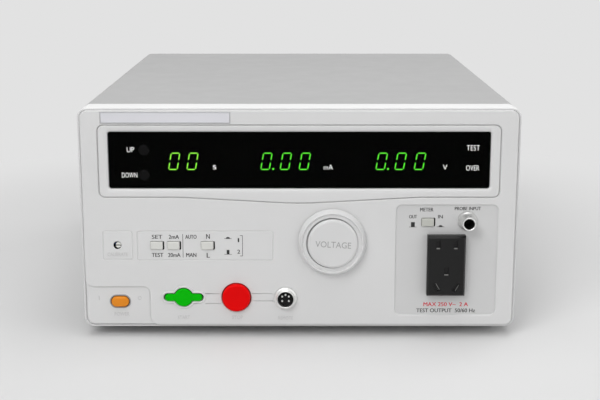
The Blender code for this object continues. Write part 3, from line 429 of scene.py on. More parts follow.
def buildMetal():
    # Turned, plated or rolled metal: streaks along one way, cloudy stains and rubbed edges
    group, given = newGroup("metalFinish", {
        "Color": (0.6, 0.6, 0.6, 1),
        "Stain Color": (0.4, 0.4, 0.4, 1),
        "Streak Scale": 900.0,
        "Roughness": 0.3,
        "Edge Wear": 0.4,
    })
    streak = noise(group, given["Streak Scale"], 3, (1, 0.04, 1))
    cloud = ranged(group, noise(group, 90, 5), 0.45, 0.75, 0.0, 0.6)
    color = mixed(group, cloud, given["Color"], given["Stain Color"])
    color = shaded(group, color, spread(group, streak, 0.9, 1.08))
    mask = edgeMask(group, 0.0004, given["Edge Wear"])
    color = mixed(group, mask, color, (0.85, 0.85, 0.84, 1))
    gloss = maths(group, "ADD", given["Roughness"], spread(group, streak, -0.07, 0.1))
    return putOut(group, color, gloss, streak)


def buildBanded():
    # Stacked sheets, wire turns or tape: even bands along one way, with thin dark gaps
    group, given = newGroup("bandedFinish", {
        "Color": (0.5, 0.3, 0.1, 1),
        "Gap Color": (0.1, 0.05, 0.02, 1),
        "Bands": 300.0,
        "Roughness": 0.4,
    })
    links = {"Vector": objectSpot(group), "Scale": given["Bands"], "Distortion": 0.4, "Detail Scale": 6.0}
    wave = node(group, "ShaderNodeTexWave", links, bands_direction="DIAGONAL").outputs["Fac"]
    gap = ranged(group, wave, 0.0, 0.25, 1.0, 0.0)
    color = mixed(group, gap, given["Color"], given["Gap Color"])
    color = shaded(group, color, spread(group, noise(group, 120, 3), 0.85, 1.12))
    gloss = maths(group, "ADD", given["Roughness"], ranged(group, wave, 0, 1, 0.12, -0.05))
    return putOut(group, color, gloss, wave)


def buildBoard():
    # Circuit board: lacquer over tracks in right-angled runs
    group, given = newGroup("boardFinish", {
        "Color": (0.02, 0.16, 0.05, 1),
        "Track Color": (0.05, 0.3, 0.1, 1),
        "Roughness": 0.35,
    })
    links = {"Vector": objectSpot(group), "Scale": 230.0}
    cells = node(group, "ShaderNodeTexVoronoi", links, distance="CHEBYCHEV", feature="F1").outputs["Distance"]
    track = ranged(group, cells, 0.42, 0.5, 0.0, 1.0)
    color = mixed(group, track, given["Color"], given["Track Color"])
    gloss = maths(group, "ADD", given["Roughness"], ranged(group, noise(group, 80, 3), 0, 1, -0.1, 0.1))
    return putOut(group, color, gloss, track)


def buildInk():
    # Screen-printed ink: a little uneven, and thin in places
    group, given = newGroup("inkFinish", {"Color": (0.1, 0.1, 0.1, 1), "Thin Color": (0.2, 0.2, 0.2, 1)})
    grain = noise(group, 3500, 3)
    thin = ranged(group, grain, 0.5, 0.75, 0.0, 0.7)
    color = mixed(group, thin, given["Color"], given["Thin Color"])
    return putOut(group, color, ranged(group, grain, 0, 1, 0.45, 0.65), grain)


effects = {
    "moulded": buildMoulded(),
    "metal": buildMetal(),
    "banded": buildBanded(),
    "board": buildBoard(),
    "ink": buildInk(),
}


def rgb(*levels):
    # sRGB levels from 0 to 255 as a linear colour
    linear = [((v / 255 + 0.055) / 1.055) ** 2.4 if v > 10 else v / 255 / 12.92 for v in levels]
    return (*linear, 1)


def grey(level):
    return rgb(level, level, level)


def finish(name, effect, values, bump=0.2, height=0.00005, glow=None, **shader):
    # One material: the shared effect with its own values, and the shader's own settings
    material = bpy.data.materials.new(name)
    material.use_nodes = True
    tree = material.node_tree
    principled = tree.nodes["Principled BSDF"]
    group = tree.nodes.new("ShaderNodeGroup")
    group.node_tree = effects[effect]
    for label, value in values.items():
        group.inputs[label].default_value = value
    tree.links.new(group.outputs["Color"], principled.inputs["Base Color"])
    tree.links.new(group.outputs["Roughness"], principled.inputs["Roughness"])
    links = {"Strength": bump, "Distance": height, "Height": group.outputs["Height"]}
    tree.links.new(node(tree, "ShaderNodeBump", links).outputs[0], principled.inputs["Normal"])
    for label, value in shader.items():
        principled.inputs[label.replace("_", " ")].default_value = value
    if glow:
        tree.links.new(group.outputs["Color"], principled.inputs["Emission Color"])
        principled.inputs["Emission Strength"].default_value = glow
    return material


def moulded(name, color, rubbed, rough=0.45, grain=2500, drift=0.015, wear=0.25, shine=0.5, **more):
    values = {"Color": color, "Rubbed Color": rubbed, "Roughness": rough}
    values.update({"Grain Scale": float(grain), "Drift": drift, "Edge Wear": wear})
    return finish(name, "moulded", values, Specular_IOR_Level=shine, **more)


def metal(name, color, stain, rough=0.3, streak=900, wear=0.4, **more):
    values = {"Color": (*color, 1), "Stain Color": (*stain, 1), "Roughness": rough}
    values.update({"Streak Scale": float(streak), "Edge Wear": wear})
    return finish(name, "metal", values, Metallic=1.0, **more)


def banded(name, color, gap, bands, rough, **more):
    values = {"Color": (*color, 1), "Gap Color": (*gap, 1), "Bands": bands, "Roughness": rough}
    return finish(name, "banded", values, **more)


def ink(name, color, thin, **more):
    return finish(name, "ink", {"Color": color, "Thin Color": thin}, **more)


panelPlastic = moulded("panelPlastic", grey(216), grey(228), rough=0.5, wear=0.2)
# A lighter grey than the panel's, on all of the frame but its forward faces: painted highlight along its top edge
framePlasticPaintedHighlight = moulded("framePlasticPaintedHighlight", grey(231), grey(238), rough=0.6, wear=0.3, shine=0.2)
coverEnamel = moulded(
    "coverEnamel", grey(172), grey(200), rough=0.55, grain=900, bump=0.35, drift=0.01, shine=0.3
)
rearEnamel = moulded("rearEnamel", grey(186), grey(204), rough=0.55, grain=900, bump=0.35)
plateSkin = moulded("plateSkin", rgb(217, 217, 222), grey(230), rough=0.4, grain=4000)
# A darker grey for the socket recess floor: painted shade
recessPaintedShade = moulded("recessPaintedShade", grey(206), grey(220), rough=0.5, wear=0.2)
# Panel grey made darker for the moulded words: painted shade
wordPaintedShade = moulded("wordPaintedShade", grey(200), grey(212), rough=0.5, wear=0.2)
windowAcrylic = moulded(
    "windowAcrylic", grey(90), grey(90), rough=0.02, bump=0.0, wear=0.0, drift=0.0,
    Transmission_Weight=1.0, IOR=1.1,
)
# Near-black card: the display's mask, and painted shade where it lines holes and fills the vents
maskCardAndPaintedShade = moulded("maskCardAndPaintedShade", grey(5), grey(8), rough=0.9, shine=0.05)
blackPlastic = moulded("blackPlastic", grey(28), grey(56), rough=0.42, wear=0.3, shine=0.3)
insertPlastic = moulded("insertPlastic", grey(14), grey(34), rough=0.4, wear=0.2, shine=0.15)
socketPlastic = moulded("socketPlastic", grey(12), grey(40), rough=0.34, grain=1800, wear=0.15, shine=0.3)
buttonBlack = moulded("buttonBlack", grey(3), grey(34), rough=0.16, wear=0.05, shine=0.12)
gripPlastic = moulded("gripPlastic", grey(30), grey(58), rough=0.6, grain=1400, bump=0.5)
footRubber = moulded("footRubber", grey(26), grey(48), rough=0.8, grain=1200, bump=0.6)
keyPlastic = moulded("keyPlastic", rgb(214, 214, 210), rgb(228, 228, 222), rough=0.45, shine=0.3)
meterKeyPlastic = moulded("meterKeyPlastic", rgb(190, 191, 184), rgb(206, 206, 200), rough=0.4)
amberPlastic = moulded("amberPlastic", rgb(226, 136, 26), rgb(236, 160, 80), rough=0.35, shine=0.25)
greenPlastic = moulded("greenPlastic", rgb(0, 184, 2), rgb(40, 198, 40), rough=0.4, shine=0.08)
redPlastic = moulded("redPlastic", rgb(228, 0, 2), rgb(234, 44, 40), rough=0.36, shine=0.08)
knobPlastic = moulded("knobPlastic", grey(214), grey(234), rough=0.42, wear=0.4)
bezelGrey = moulded("bezelGrey", grey(156), grey(180), rough=0.4)
blueMoulding = moulded("blueMoulding", rgb(40, 90, 170), rgb(90, 130, 200), rough=0.4)
tipMetal = metal("tipMetal", (0.34, 0.34, 0.33), (0.28, 0.28, 0.27), rough=0.4, wear=0.1)
nickel = metal("nickel", (0.8, 0.8, 0.79), (0.74, 0.74, 0.73), rough=0.34, streak=60, wear=0.15, bump=0.01)
zinc = metal("zinc", (0.55, 0.56, 0.58), (0.4, 0.41, 0.42), rough=0.42, streak=500)
brass = metal("brass", (0.75, 0.56, 0.25), (0.5, 0.36, 0.16), rough=0.32)
trimmerMetal = metal("trimmerMetal", (0.8, 0.8, 0.77), (0.64, 0.63, 0.58), rough=0.5, wear=0.2)
copperWire = banded(
    "copperWire", (0.6, 0.24, 0.08), (0.16, 0.05, 0.02), 420.0, 0.3, bump=0.6, height=0.0004, Metallic=0.9
)
sheetSteel = banded(
    "sheetSteel", (0.26, 0.26, 0.27), (0.05, 0.05, 0.05), 300.0, 0.45, bump=0.5, height=0.0002, Metallic=0.8
)
coilTape = banded("coilTape", (0.6, 0.45, 0.12), (0.4, 0.28, 0.07), 40.0, 0.35, bump=0.4, height=0.0004)
greenBoard = finish("greenBoard", "board", {}, bump=0.3)
darkInk = ink("darkInk", grey(22), grey(44), bump=0.05)
blackInk = ink("blackInk", grey(26), grey(50))
greyInk = ink("greyInk", grey(160), grey(176))
redInk = ink("redInk", rgb(206, 6, 40), rgb(214, 40, 70))
# White ink with a glow of its own: painted light that brightens the window's legends
whiteInkPaintedGlow = ink("whiteInkPaintedGlow", grey(250), grey(246), bump=0.0, glow=0.8)
litGreen = ink("litGreen", rgb(96, 246, 60), rgb(124, 248, 80), glow=9.0)
litYellowGreen = ink("litYellowGreen", rgb(150, 254, 75), rgb(170, 254, 90), glow=9.0)
print("finishes made:", len(bpy.data.materials))


spots = {  # the middle of each control: x, up
    "preset": (-104.7, 63.3),
    "range": (-92.3, 63.3),
    "line": (-67.5, 63.3),
    "meter": (93.9, 80.7),
    "trimmer": (-132.8, 63.5),
    "power": (-132.8, 20.1),
    "start": (-85.7, 23.5),
    "stop": (-46.6, 23.5),
    "connector": (-10.2, 22.9),
    "knob": (24.0, 66.4),
    "jack": (122.7, 82.0),
    "outlet": (107.7, 48.8),
}
leftKeys = ("preset", "range", "line")
panel = {
    "half": 157.8,
    "low": 2.2,
    "high": 163.4,
    "corner": 5.4,
    "thickness": 5.0,
    "edge": 0.6,
    "holeEdge": 0.3,
    "stepDepth": 1.0,  # the lowered corner and the recess stand this far back
    "stepRight": -110.5,
    "stepTop": 31.6,
    "stepCorners": (5.4, 4.8, 6.6),
    "stepFloor": [  # x, up, radius
        (-157.8, 2.2, 5.4), (-104.2, 2.2, 0.3), (-110.2, 9.0, 0), (-110.2, 31.9, 4.8),
        (-150.5, 31.9, 0), (-156.0, 36.9, 0), (-157.8, 36.8, 0.3),
    ],
    "stepFloorEdge": 1.2,
    "recess": (70.8, 145.1, 9.8, 93.8, 4.0),  # left, right, low, high, corner
    "recessEdge": 0.8,
    "recessFloorGrow": 0.5,
    "trimmerBox": (-143.9, -122.3, 52.7, 74.1, 1.5),
    "switchBox": (-118.7, -19.3, 52.1, 74.1, 1.5),
    "grooveWidth": 0.5,
    "grooveDepth": 0.5,
    "plateBox": (-143.1, -49.5, 154.1, 162.5, 0.4),
    "plateSides": [(0.15, 0), (0, 0.15), (0, 0.7)],  # grow, depth
    "lines": [  # beside the stop button: left, right, up
        (-69.5, -58.6, 26.3), (-69.5, -57.9, 18.7), (-34.9, -19.9, 26.3), (-34.9, -19.5, 20.7),
    ],
    "lineWidth": 0.42,
    "lineSides": [(0.14, 0), (0, 0.7)],
    "roundHoles": {"stop": (11.1, 64), "connector": (7.2, 40), "knob": (4.4, 32)},  # radius, sides
    "startHole": (7.1, 29.2, 5.8, 2.8),  # radius of the round, then length, height and corner of the bar
    "startLipGrow": 1.9,
    "startLip": [  # grow, depth
        (1.95, 0.3), (1.9, -0.1), (1.6, -0.42), (1.15, -0.55), (0.7, -0.5), (0.3, -0.2), (0.1, 0.3), (0.0, 1.0),
    ],
    "powerHole": (14.0, 8.8, 4.35),  # width, height, corner
    "keyHole": (10.2, 6.4, 0.8),
    "keyHoleShift": 0.45,
    "trimmerHole": (2.9, 32),
    "trimmerHoleShift": -0.65,
    "jackHole": (5.4, 40),
    "outletHole": (24.5, 41.2, 0.6),
    "smallEdge": 0.1,
}
surround = {
    "left": -145.5,
    "right": 145.5,
    "top": 152.8,
    "low": 99.5,
    "corner": 4.5,
    "flatTo": 87.0,
    "flatCorner": 6,
    "middle": 94.7,  # its low edge sags to this height
    "middleCorner": 12,
    "groove": [(0.8, 0), (0.5, 0.25), (0.2, 0.9), (0.0, 1.4)],  # the panel's side of the line round it
    "edge": [(-0.8, 0), (-0.5, 0.25), (-0.22, 0.9), (-0.02, 1.4)],
    "slopeStart": 0.3,
    "slopeWidth": 3.4,
    "slopeDepth": 1.4,
    "slopeSteps": 6,
}
window = {
    "box": (-138.0, 138.0, 106.15, 147.65, 1.5),
    "play": 0.05,
    "front": 1.45,
    "back": 3.3,
    "edge": 0.25,
    "holeEdge": 0.15,
    "maskInset": 1.0,
    "maskFront": 3.6,
    "maskBack": 4.1,
    "maskEdge": 0.1,
    "cutouts": [(-83.8, 28), (-9.9, 42), (73.3, 42)],  # before the displays: x, width
    "cutoutUp": 126.2,
    "cutoutHeight": 17,
    "cutoutCorner": 0.5,
    "buttonCutout": 5.4,
}


def wingOutline(x, up, radius, length, height, corner):
    # A round with a bar across it: the two arcs, and the bar's ends between them
    meet = math.asin(height / 2 / radius)
    arcSteps = 18
    points = [around(x, up, radius, meet + (math.pi - 2 * meet) * i / arcSteps) for i in range(arcSteps + 1)]
    left = cornered([
        (x, up + height / 2, 0), (x - length / 2, up + height / 2, corner),
        (x - length / 2, up - height / 2, corner), (x, up - height / 2, 0),
    ])
    bend = [point for point in left if point[0] < x - length / 2 + corner + 0.01]
    bend.sort(key=lambda point: -point[1])
    half = points + bend
    return half + [(2 * x - a, 2 * up - b) for a, b in half]


def keyHoleOutline(name):
    x, up = spots[name]
    return boxed(x + panel["keyHoleShift"], up, *panel["keyHole"])


startHole = wingOutline(*spots["start"], *panel["startHole"])
powerHole = boxed(*spots["power"], *panel["powerHole"])
trimmerHole = circled(spots["trimmer"][0] + panel["trimmerHoleShift"], spots["trimmer"][1], *panel["trimmerHole"])
windowHole = spanned(*window["box"])


def panelFace(shape):
    # The main face, with its holes, grooves and shallow pockets, and the walls behind them
    back = panel["thickness"]
    half, low, high, corner = panel["half"], panel["low"], panel["high"], panel["corner"]
    right, top = panel["stepRight"], panel["stepTop"]
    topCorner, innerCorner, lowCorner = panel["stepCorners"]
    outer = cornered([
        (-half, high, corner), (-half, top, topCorner), (right, top, innerCorner),
        (right, low, lowCorner), (half, low, corner), (half, high, corner),
    ])
    hole = rim(panel["holeEdge"], 0, back, hole=True)
    walls = [
        (outer, rim(panel["edge"], 0, back)),
        (surroundOutline(), surround["groove"] + [(0.0, back)]),
        (spanned(*panel["recess"]), rim(panel["recessEdge"], 0, back, hole=True)),
        (grown(startHole, panel["startLipGrow"]), hole),
    ]
    walls += [(circled(*spots[name], *size), hole) for name, size in panel["roundHoles"].items()]
    fronts, backs = raised(shape, walls)

    width, depth = panel["grooveWidth"], panel["grooveDepth"]
    groove = [(width, 0), (width * 0.5, depth * 0.7), (0, depth), (-width * 0.5, depth * 0.7), (-width, 0)]
    for name, holes in (("trimmerBox", [trimmerHole]), ("switchBox", map(keyHoleOutline, leftKeys))):
        first, last = chain(shape, spanned(*panel[name]), groove)
        holeFronts, holeBacks = raised(shape, [(outline, hole) for outline in holes])
        fronts.append(first)
        backs += holeBacks
        fill(shape, last, *holeFronts)

    wide = panel["lineWidth"] / 2
    pockets = [(spanned(a, b, up - wide, up + wide, 0), panel["lineSides"]) for a, b, up in panel["lines"]]
    for outline, sides in pockets + [(spanned(*panel["plateBox"]), panel["plateSides"])]:
        first, last = chain(shape, outline, sides)
        fronts.append(first)
        fill(shape, last)
    fill(shape, *fronts)
    fill(shape, *backs)


def surroundOutline():
    left, right, top, low = surround["left"], surround["right"], surround["top"], surround["low"]
    corner, flatTo, flatCorner = surround["corner"], surround["flatTo"], surround["flatCorner"]
    return cornered([
        (left, top, corner), (left, low, corner), (-flatTo, low, flatCorner),
        (0, surround["middle"], surround["middleCorner"]), (flatTo, low, flatCorner),
        (right, low, corner), (right, top, corner),
    ])


def panelSurround(shape):
    # The raised surround dips towards the window
    back, start, steps = panel["thickness"], surround["slopeStart"], surround["slopeSteps"]
    slope = []
    for step in range(steps + 1):
        turn = math.pi / 2 * step / steps
        grow = start + surround["slopeWidth"] * (1 - math.sin(turn))
        slope.append((grow, surround["slopeDepth"] * (1 - math.cos(turn))))
    edge = surround["edge"]
    fronts, backs = raised(shape, [
        (surroundOutline(), edge + [(edge[-1][0], back)]), (windowHole, slope + [(start, back)]),
    ])
    fill(shape, *fronts)
    fill(shape, *backs)


def panelFloors(shape):
    # Floor of the lowered corner round the power button, and of the socket recess
    back, step, small = panel["thickness"], panel["stepDepth"], panel["smallEdge"]
    holeEdge = panel["holeEdge"]
    slab(shape, cornered(panel["stepFloor"]), step, back, panel["stepFloorEdge"], [(powerHole, holeEdge)])
    slab(shape, grown(spanned(*panel["recess"]), panel["recessFloorGrow"]), step, back, small, [
        (keyHoleOutline("meter"), holeEdge),
        (circled(*spots["jack"], *panel["jackHole"]), small),
        (boxed(*spots["outlet"], *panel["outletHole"]), small),
    ])


def makePanel():
    shape = bmesh.new()
    panelFace(shape)
    panelSurround(shape)
    panelFloors(shape)
    back = panel["thickness"]
    hoop(shape, startHole, panel["startLip"] + [(0.0, back), (1.8, back)])
    piece = finishPiece(shape, "front_panel_moulding", panelPlastic, "light_moulding", replaced=("front_panel",))

    # The recess floor gets a darker grey: painted shade
    piece.data.materials.append(recessPaintedShade)
    left, right, low, high, corner = panel["recess"]
    toPanel = panelSpace.inverted()
    reach = 0.4
    for face in piece.data.polygons:
        spot = toPanel @ face.center
        within = left - reach < spot.x < right + reach and low - reach < spot.z < high + reach
        if within and abs(spot.y - panel["stepDepth"]) < 0.1:
            face.material_index = 1


bezel = [(0.9, 1.3), (0.9, 0.9), (0.7, 0.7), (0.35, 0.6), (0.05, 0.75), (0.0, 1.2), (0.0, 4.5), (0.35, 4.5)]


def makeBezel():
    shape = bmesh.new()
    hoop(shape, powerHole, bezel)
    finishPiece(shape, "power_bezel", bezelGrey, "light_moulding")


plate = {
    "box": (-142.8, -49.8, 154.4, 162.2, 0.3),
    "front": -0.3,
    "back": 0.45,
    "edge": 0.2,
    "border": (-142.6, -50.0, 154.6, 162.0, 0.3),
    "borderSection": [(0.0, -0.33), (-0.2, -0.33), (-0.2, -0.25), (0.0, -0.25)],
}


def makeNamePlate():
    shape = bmesh.new()
    slab(shape, spanned(*plate["box"]), plate["front"], plate["back"], plate["edge"])
    finishPiece(shape, "name_plate_strip", plateSkin, "light_moulding", replaced=("name_plate",))
    shape = bmesh.new()
    hoop(shape, spanned(*plate["border"]), plate["borderSection"])
    finishPiece(shape, "name_plate_border", greyInk, "light_moulding")


makePanel()
makeBezel()
makeNamePlate()
print("front panel made")

frameRing = {
    "box": (-160, 160, 0, 165, 7),
    "section": [  # grow, depth: a groove stands between its rounded front edge and the panel
        (-4.4, 5.4), (-2.15, 5.4), (-2.15, 3.7), (-1.75, 3.6), (-1.6, 2.9), (-1.3, 2.55), (-0.8, 2.45),
        (-0.3, 2.6), (-0.06, 2.95), (0.0, 3.4), (0.0, 21.9), (-0.25, 22.3), (-0.6, 22.45), (-4.4, 22.45),
    ],
    "spigot": [(-3.0, 22.4), (-3.0, 28.4), (-4.4, 28.4), (-4.4, 22.4)],
}


def makeFrame():
    outline = spanned(*frameRing["box"])
    shape = bmesh.new()
    hoop(shape, outline, frameRing["section"])
    ring = finishPiece(shape, "front_frame_ring", framePlasticPaintedHighlight, "light_moulding", replaced=("front_frame",))
    # Forward faces take the panel's grey and the rest keep the lighter frame grey: a painted highlight on the
    # frame's top
    ring.data.materials.append(panelPlastic)
    for face in ring.data.polygons:
        if face.normal.y < -0.85:  # looks forwards
            face.material_index = 1
    shape = bmesh.new()
    hoop(shape, outline, frameRing["spigot"])
    finishPiece(shape, "front_frame_spigot", framePlasticPaintedHighlight, "light_moulding")


stepButtons = {
    "spots": {"up": (-112.1, 134.5), "down": (-112.1, 116.2)},
    "radius": 3.9,
    "gap": 0.3,
    "profile": [  # radius, depth
        (0, -0.25), (1.95, -0.3), (3.0, -0.4), (3.45, -0.33), (3.78, -0.05), (3.9, 0.35), (3.9, 3.6), (5.0, 3.6),
        (5.0, 4.6), (1.5, 4.6), (1.5, 11.3), (0, 11.3),
    ],
}


def makeWindow():
    buttons = stepButtons["spots"].values()
    radius = stepButtons["radius"] + stepButtons["gap"]
    shape = bmesh.new()
    holes = [(circled(*spot, radius, 40), window["holeEdge"]) for spot in buttons]
    slab(shape, grown(windowHole, -window["play"]), window["front"], window["back"], window["edge"], holes)
    finishPiece(shape, "window_pane", windowAcrylic, "window_acrylic", replaced=("display_window",))
    shape = bmesh.new()
    up, height, corner = window["cutoutUp"], window["cutoutHeight"], window["cutoutCorner"]
    edge = window["maskEdge"]
    holes = [boxed(x, up, width, height, corner) for x, width in window["cutouts"]]
    holes += [circled(*spot, window["buttonCutout"], 32) for spot in buttons]
    outline = grown(windowHole, -window["maskInset"])
    slab(shape, outline, window["maskFront"], window["maskBack"], edge, [(hole, edge) for hole in holes])
    finishPiece(shape, "window_mask", maskCardAndPaintedShade, "black_moulding")


digits = {
    "height": 12.9,
    "width": 7.0,
    "stroke": 0.8,
    "gap": 1.0,
    "cut": 1.1,
    "lean": 10,
    "up": 125.3,
    "front": 5.35,
    "thickness": 0.4,
    "edge": 0.05,
    "pointRadius": 0.75,
    "pointUp": 119.6,
    "moduleLow": 116.7,
    "moduleHigh": 135.7,
    "moduleFront": 5.6,
    "moduleCorner": 0.4,
    "moduleEdge": 0.3,
}


def segments():
    # The six lit bars of a zero, as outlines about the digit's middle
    half, tall = digits["width"] / 2, digits["height"] / 2
    wide, gap, cut = digits["stroke"], digits["gap"], digits["cut"]
    for side in (-1, 1):
        edge, inner, bend = side * tall, side * (tall - wide), side * (tall - cut * 0.35)
        yield [
            (-half + cut, edge), (half - cut, edge), (half - cut * 0.65, bend),
            (half - wide - 0.15, inner), (-half + wide + 0.15, inner), (-half + cut * 0.65, bend),
        ]
        for end in (-1, 1):
            outer, inside, near = side * half, side * (half - wide), end * (gap + wide * 0.5)
            yield [
                (outer, end * (tall - cut)), (outer, near), (side * (half - wide / 2), end * gap),
                (inside, near), (inside, end * (tall - wide - 0.3)),
                (side * (half - cut * 0.3), end * (tall - cut * 0.75)),
            ]


def makeDigits(name, middles, points, material):
    front, edge = digits["front"], digits["edge"]
    back = front + digits["thickness"]
    lean = math.tan(math.radians(digits["lean"]))
    shape = bmesh.new()
    for x in middles:
        for outline in segments():
            slab(shape, [(x + a + b * lean, digits["up"] + b) for a, b in outline], front, back, edge)
    for x in points:
        slab(shape, circled(x, digits["pointUp"], digits["pointRadius"], 16), front, back, edge)
    finishPiece(shape, name + "_digits", material, "black_moulding")
    low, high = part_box(name + "_display")
    sides = low.x * perMetre, high.x * perMetre
    module = spanned(*sides, digits["moduleLow"], digits["moduleHigh"], digits["moduleCorner"])
    shape = bmesh.new()
    slab(shape, module, digits["moduleFront"], (high.y - faceY) * perMetre, digits["moduleEdge"])
    finishPiece(shape, name + "_module", blackPlastic, "black_moulding", replaced=(name + "_display",))


def makeStepButtons():
    for name, spot in stepButtons["spots"].items():
        shape = bmesh.new()
        turned(shape, stepButtons["profile"], at(*spot))
        finishPiece(shape, name + "_cap", buttonBlack, "black_moulding", body=name, replaced=(name + "_button",))


windowWords = [  # text, x, up, width, height
    ("UP", -121.9, 134.7, 5.2, 3.6),
    ("DOWN", -123.1, 115.9, 11.0, 3.6),
    ("s", -61.4, 121.7, 2.3, 3.0),
    ("mA", 21.0, 121.8, 6.4, 3.6),
    ("V", 105.6, 121.8, 3.0, 3.6),
    ("TEST", 125.6, 136.0, 9.4, 3.8),
    ("OVER", 125.6, 121.2, 9.4, 3.8),
]


def makeWindowWords():
    shape = bmesh.new()
    for entry in windowWords:
        word(shape, *entry, window["front"] - 0.06, thin=0.02)
    finishPiece(shape, "window_legends", whiteInkPaintedGlow, "window_acrylic")


makeFrame()
makeWindow()
makeDigits("timer", (-91.0, -77.7), (), litYellowGreen)
makeDigits("current", (-23.9, -9.8, 4.0), (-19.0,), litGreen)
makeDigits("voltage", (59.9, 73.7, 87.8), (64.6,), litGreen)
makeStepButtons()
makeWindowWords()
print("display made")

caps = {
    "back": 1.7,
    "stemWidth": 3.0,
    "stemFront": 1.6,
    "stemBack": 13.3,
    "startWings": (6.7, 27.4, 5.2, 2.5),  # radius of the round, then length, height and corner of the bar
    "startFront": -0.8,
    "startEdge": 0.35,
    "startRound": [  # radius, depth
        (0, -1.12), (4.4, -1.15), (5.6, -1.2), (6.2, -1.1), (6.55, -0.85), (6.7, -0.45), (6.7, 1.6), (0, 1.6),
    ],
    "stopRound": [
        (0, -2.6), (4, -2.66), (7.0, -2.85), (8.4, -3.0), (9.2, -2.93), (9.8, -2.65), (10.2, -2.1),
        (10.4, -1.4), (10.45, -0.6), (10.45, 1.7), (0, 1.7),
    ],
    "power": (13.0, 7.8, 3.85),  # width, height, corner
    "powerSides": [(-1.7, -1.2), (-1.0, -1.1), (-0.45, -0.8), (-0.12, -0.35), (0, 0.3)],  # grow, depth
    "key": (9.0, 5.8, 0.55),
    "keySides": [(-0.5, 0), (-0.32, 0.06), (-0.08, 0.3), (0, 0.6)],  # grow, depth from the key's front
    "keyFront": -1.3,
    "meterFront": -0.5,
}


def finishCap(shape, name, material, slot, kind="button", pieceName=None):
    # Every cap gets the square stem behind it
    width = caps["stemWidth"]
    slab(shape, boxed(*spots[name], width, width, 0.2), caps["stemFront"], caps["stemBack"], 0.1)
    finishPiece(shape, pieceName or name + "_cap", material, slot, body=name, replaced=(f"{name}_{kind}",))


def makeStart():
    shape = bmesh.new()
    wings = wingOutline(*spots["start"], *caps["startWings"])
    slab(shape, wings, caps["startFront"], caps["back"], caps["startEdge"])
    turned(shape, caps["startRound"], at(*spots["start"]))
    finishCap(shape, "start", greenPlastic, "green_moulding")


def makeStop():
    shape = bmesh.new()
    turned(shape, caps["stopRound"], at(*spots["stop"]))
    finishCap(shape, "stop", redPlastic, "red_moulding")


def makePower():
    shape = bmesh.new()
    closed(shape, boxed(*spots["power"], *caps["power"]), caps["powerSides"] + [(0, caps["back"])])
    finishCap(shape, "power", amberPlastic, "amber_moulding")


def makeKey(name, front, material):
    shape = bmesh.new()
    sides = [(grow, front + depth) for grow, depth in caps["keySides"]]
    closed(shape, boxed(*spots[name], *caps["key"]), sides + [(0, caps["back"])])
    finishCap(shape, name, material, "ivory_moulding", "key", name + "_key_cap")


# Paint-thin dark linings: painted shade in holes and bores
shadeLiner = {"outer": 0.1, "back": 4.8, "key": (0.4, -0.1), "trimmer": (0.35, -0.12)}  # front, inner


def shadeSleeve(shape, outline, front, inner):
    outer, back = shadeLiner["outer"], shadeLiner["back"]
    hoop(shape, outline, [(outer, front), (inner, front), (inner, back), (outer, back)])


def makeShadeLiners():
    # Near-black sleeves in the key holes and in the trimmer's hole: painted shade in the gaps round the keys and
    # the trimmer's head
    shape = bmesh.new()
    front, inner = shadeLiner["key"]
    for name in leftKeys:
        shadeSleeve(shape, keyHoleOutline(name), front, inner)
    shadeSleeve(shape, keyHoleOutline("meter"), front + panel["stepDepth"], inner)
    shadeSleeve(shape, trimmerHole, *shadeLiner["trimmer"])
    finishPiece(shape, "hole_shade_liners", maskCardAndPaintedShade, "black_moulding")


trimmer = {
    "profile": [  # radius, depth
        (0, 0.45), (1.8, 0.45), (2.0, 0.52), (2.05, 0.7), (2.05, 5.2), (1.4, 5.2), (1.4, 9.5), (0, 9.5),
    ],
    "slot": (7.2, 0.95, 0),
    "slotBack": 3.4,
}


def makeTrimmer():
    shape, cutter = bmesh.new(), bmesh.new()
    turned(shape, trimmer["profile"], at(*spots["trimmer"]), 40)
    slab(cutter, boxed(*spots["trimmer"], *trimmer["slot"]), 0, trimmer["slotBack"], 0)
    shape = carved(shape, cutter)
    finishPiece(shape, "trimmer_head", trimmerMetal, "brass", body="trimmer", replaced=("trimmer_screw",))


knob = {
    "front": -6.0,
    "body": [  # radius, depth: from the cap's seat over the rim to the back
        (0, -4.7), (16.4, -4.7), (16.4, -2.6), (18.9, -2.6), (18.9, -4.7), (19.0, -4.92), (19.25, -5.0),
        (21.0, -4.75), (21.4, -4.85), (21.75, -5.5), (22.05, -5.9), (22.4, -6.0), (22.75, -5.86), (23.05, -5.5),
        (23.35, -4.95), (23.9, -4.0), (24.5, -3.0), (24.8, -2.1), (24.8, -1.4), (24.5, -0.9), (23.9, -0.8),
        (4.3, -0.8), (4.3, -3.8), (0, -3.8),
    ],
    "notchReach": 22.9,
    "notch": (4.4, 0.8, 0),
    "notchDepth": 0.9,
    "capShift": (0.4, -0.25),
    "cap": [
        (0, -6.5), (14.2, -6.52), (15.6, -6.6), (16.5, -6.56), (17.3, -6.35), (17.9, -6.0), (18.28, -5.55),
        (18.4, -5.2), (18.4, -5.0), (0, -5.0),
    ],
    "sides": 128,
    "word": (26.0, 4.6),  # width, height
    "wordShift": (0.7, -0.7),
    "wordLean": 3,
    "wordFront": -6.58,
    "wordHeight": 0.12,
}


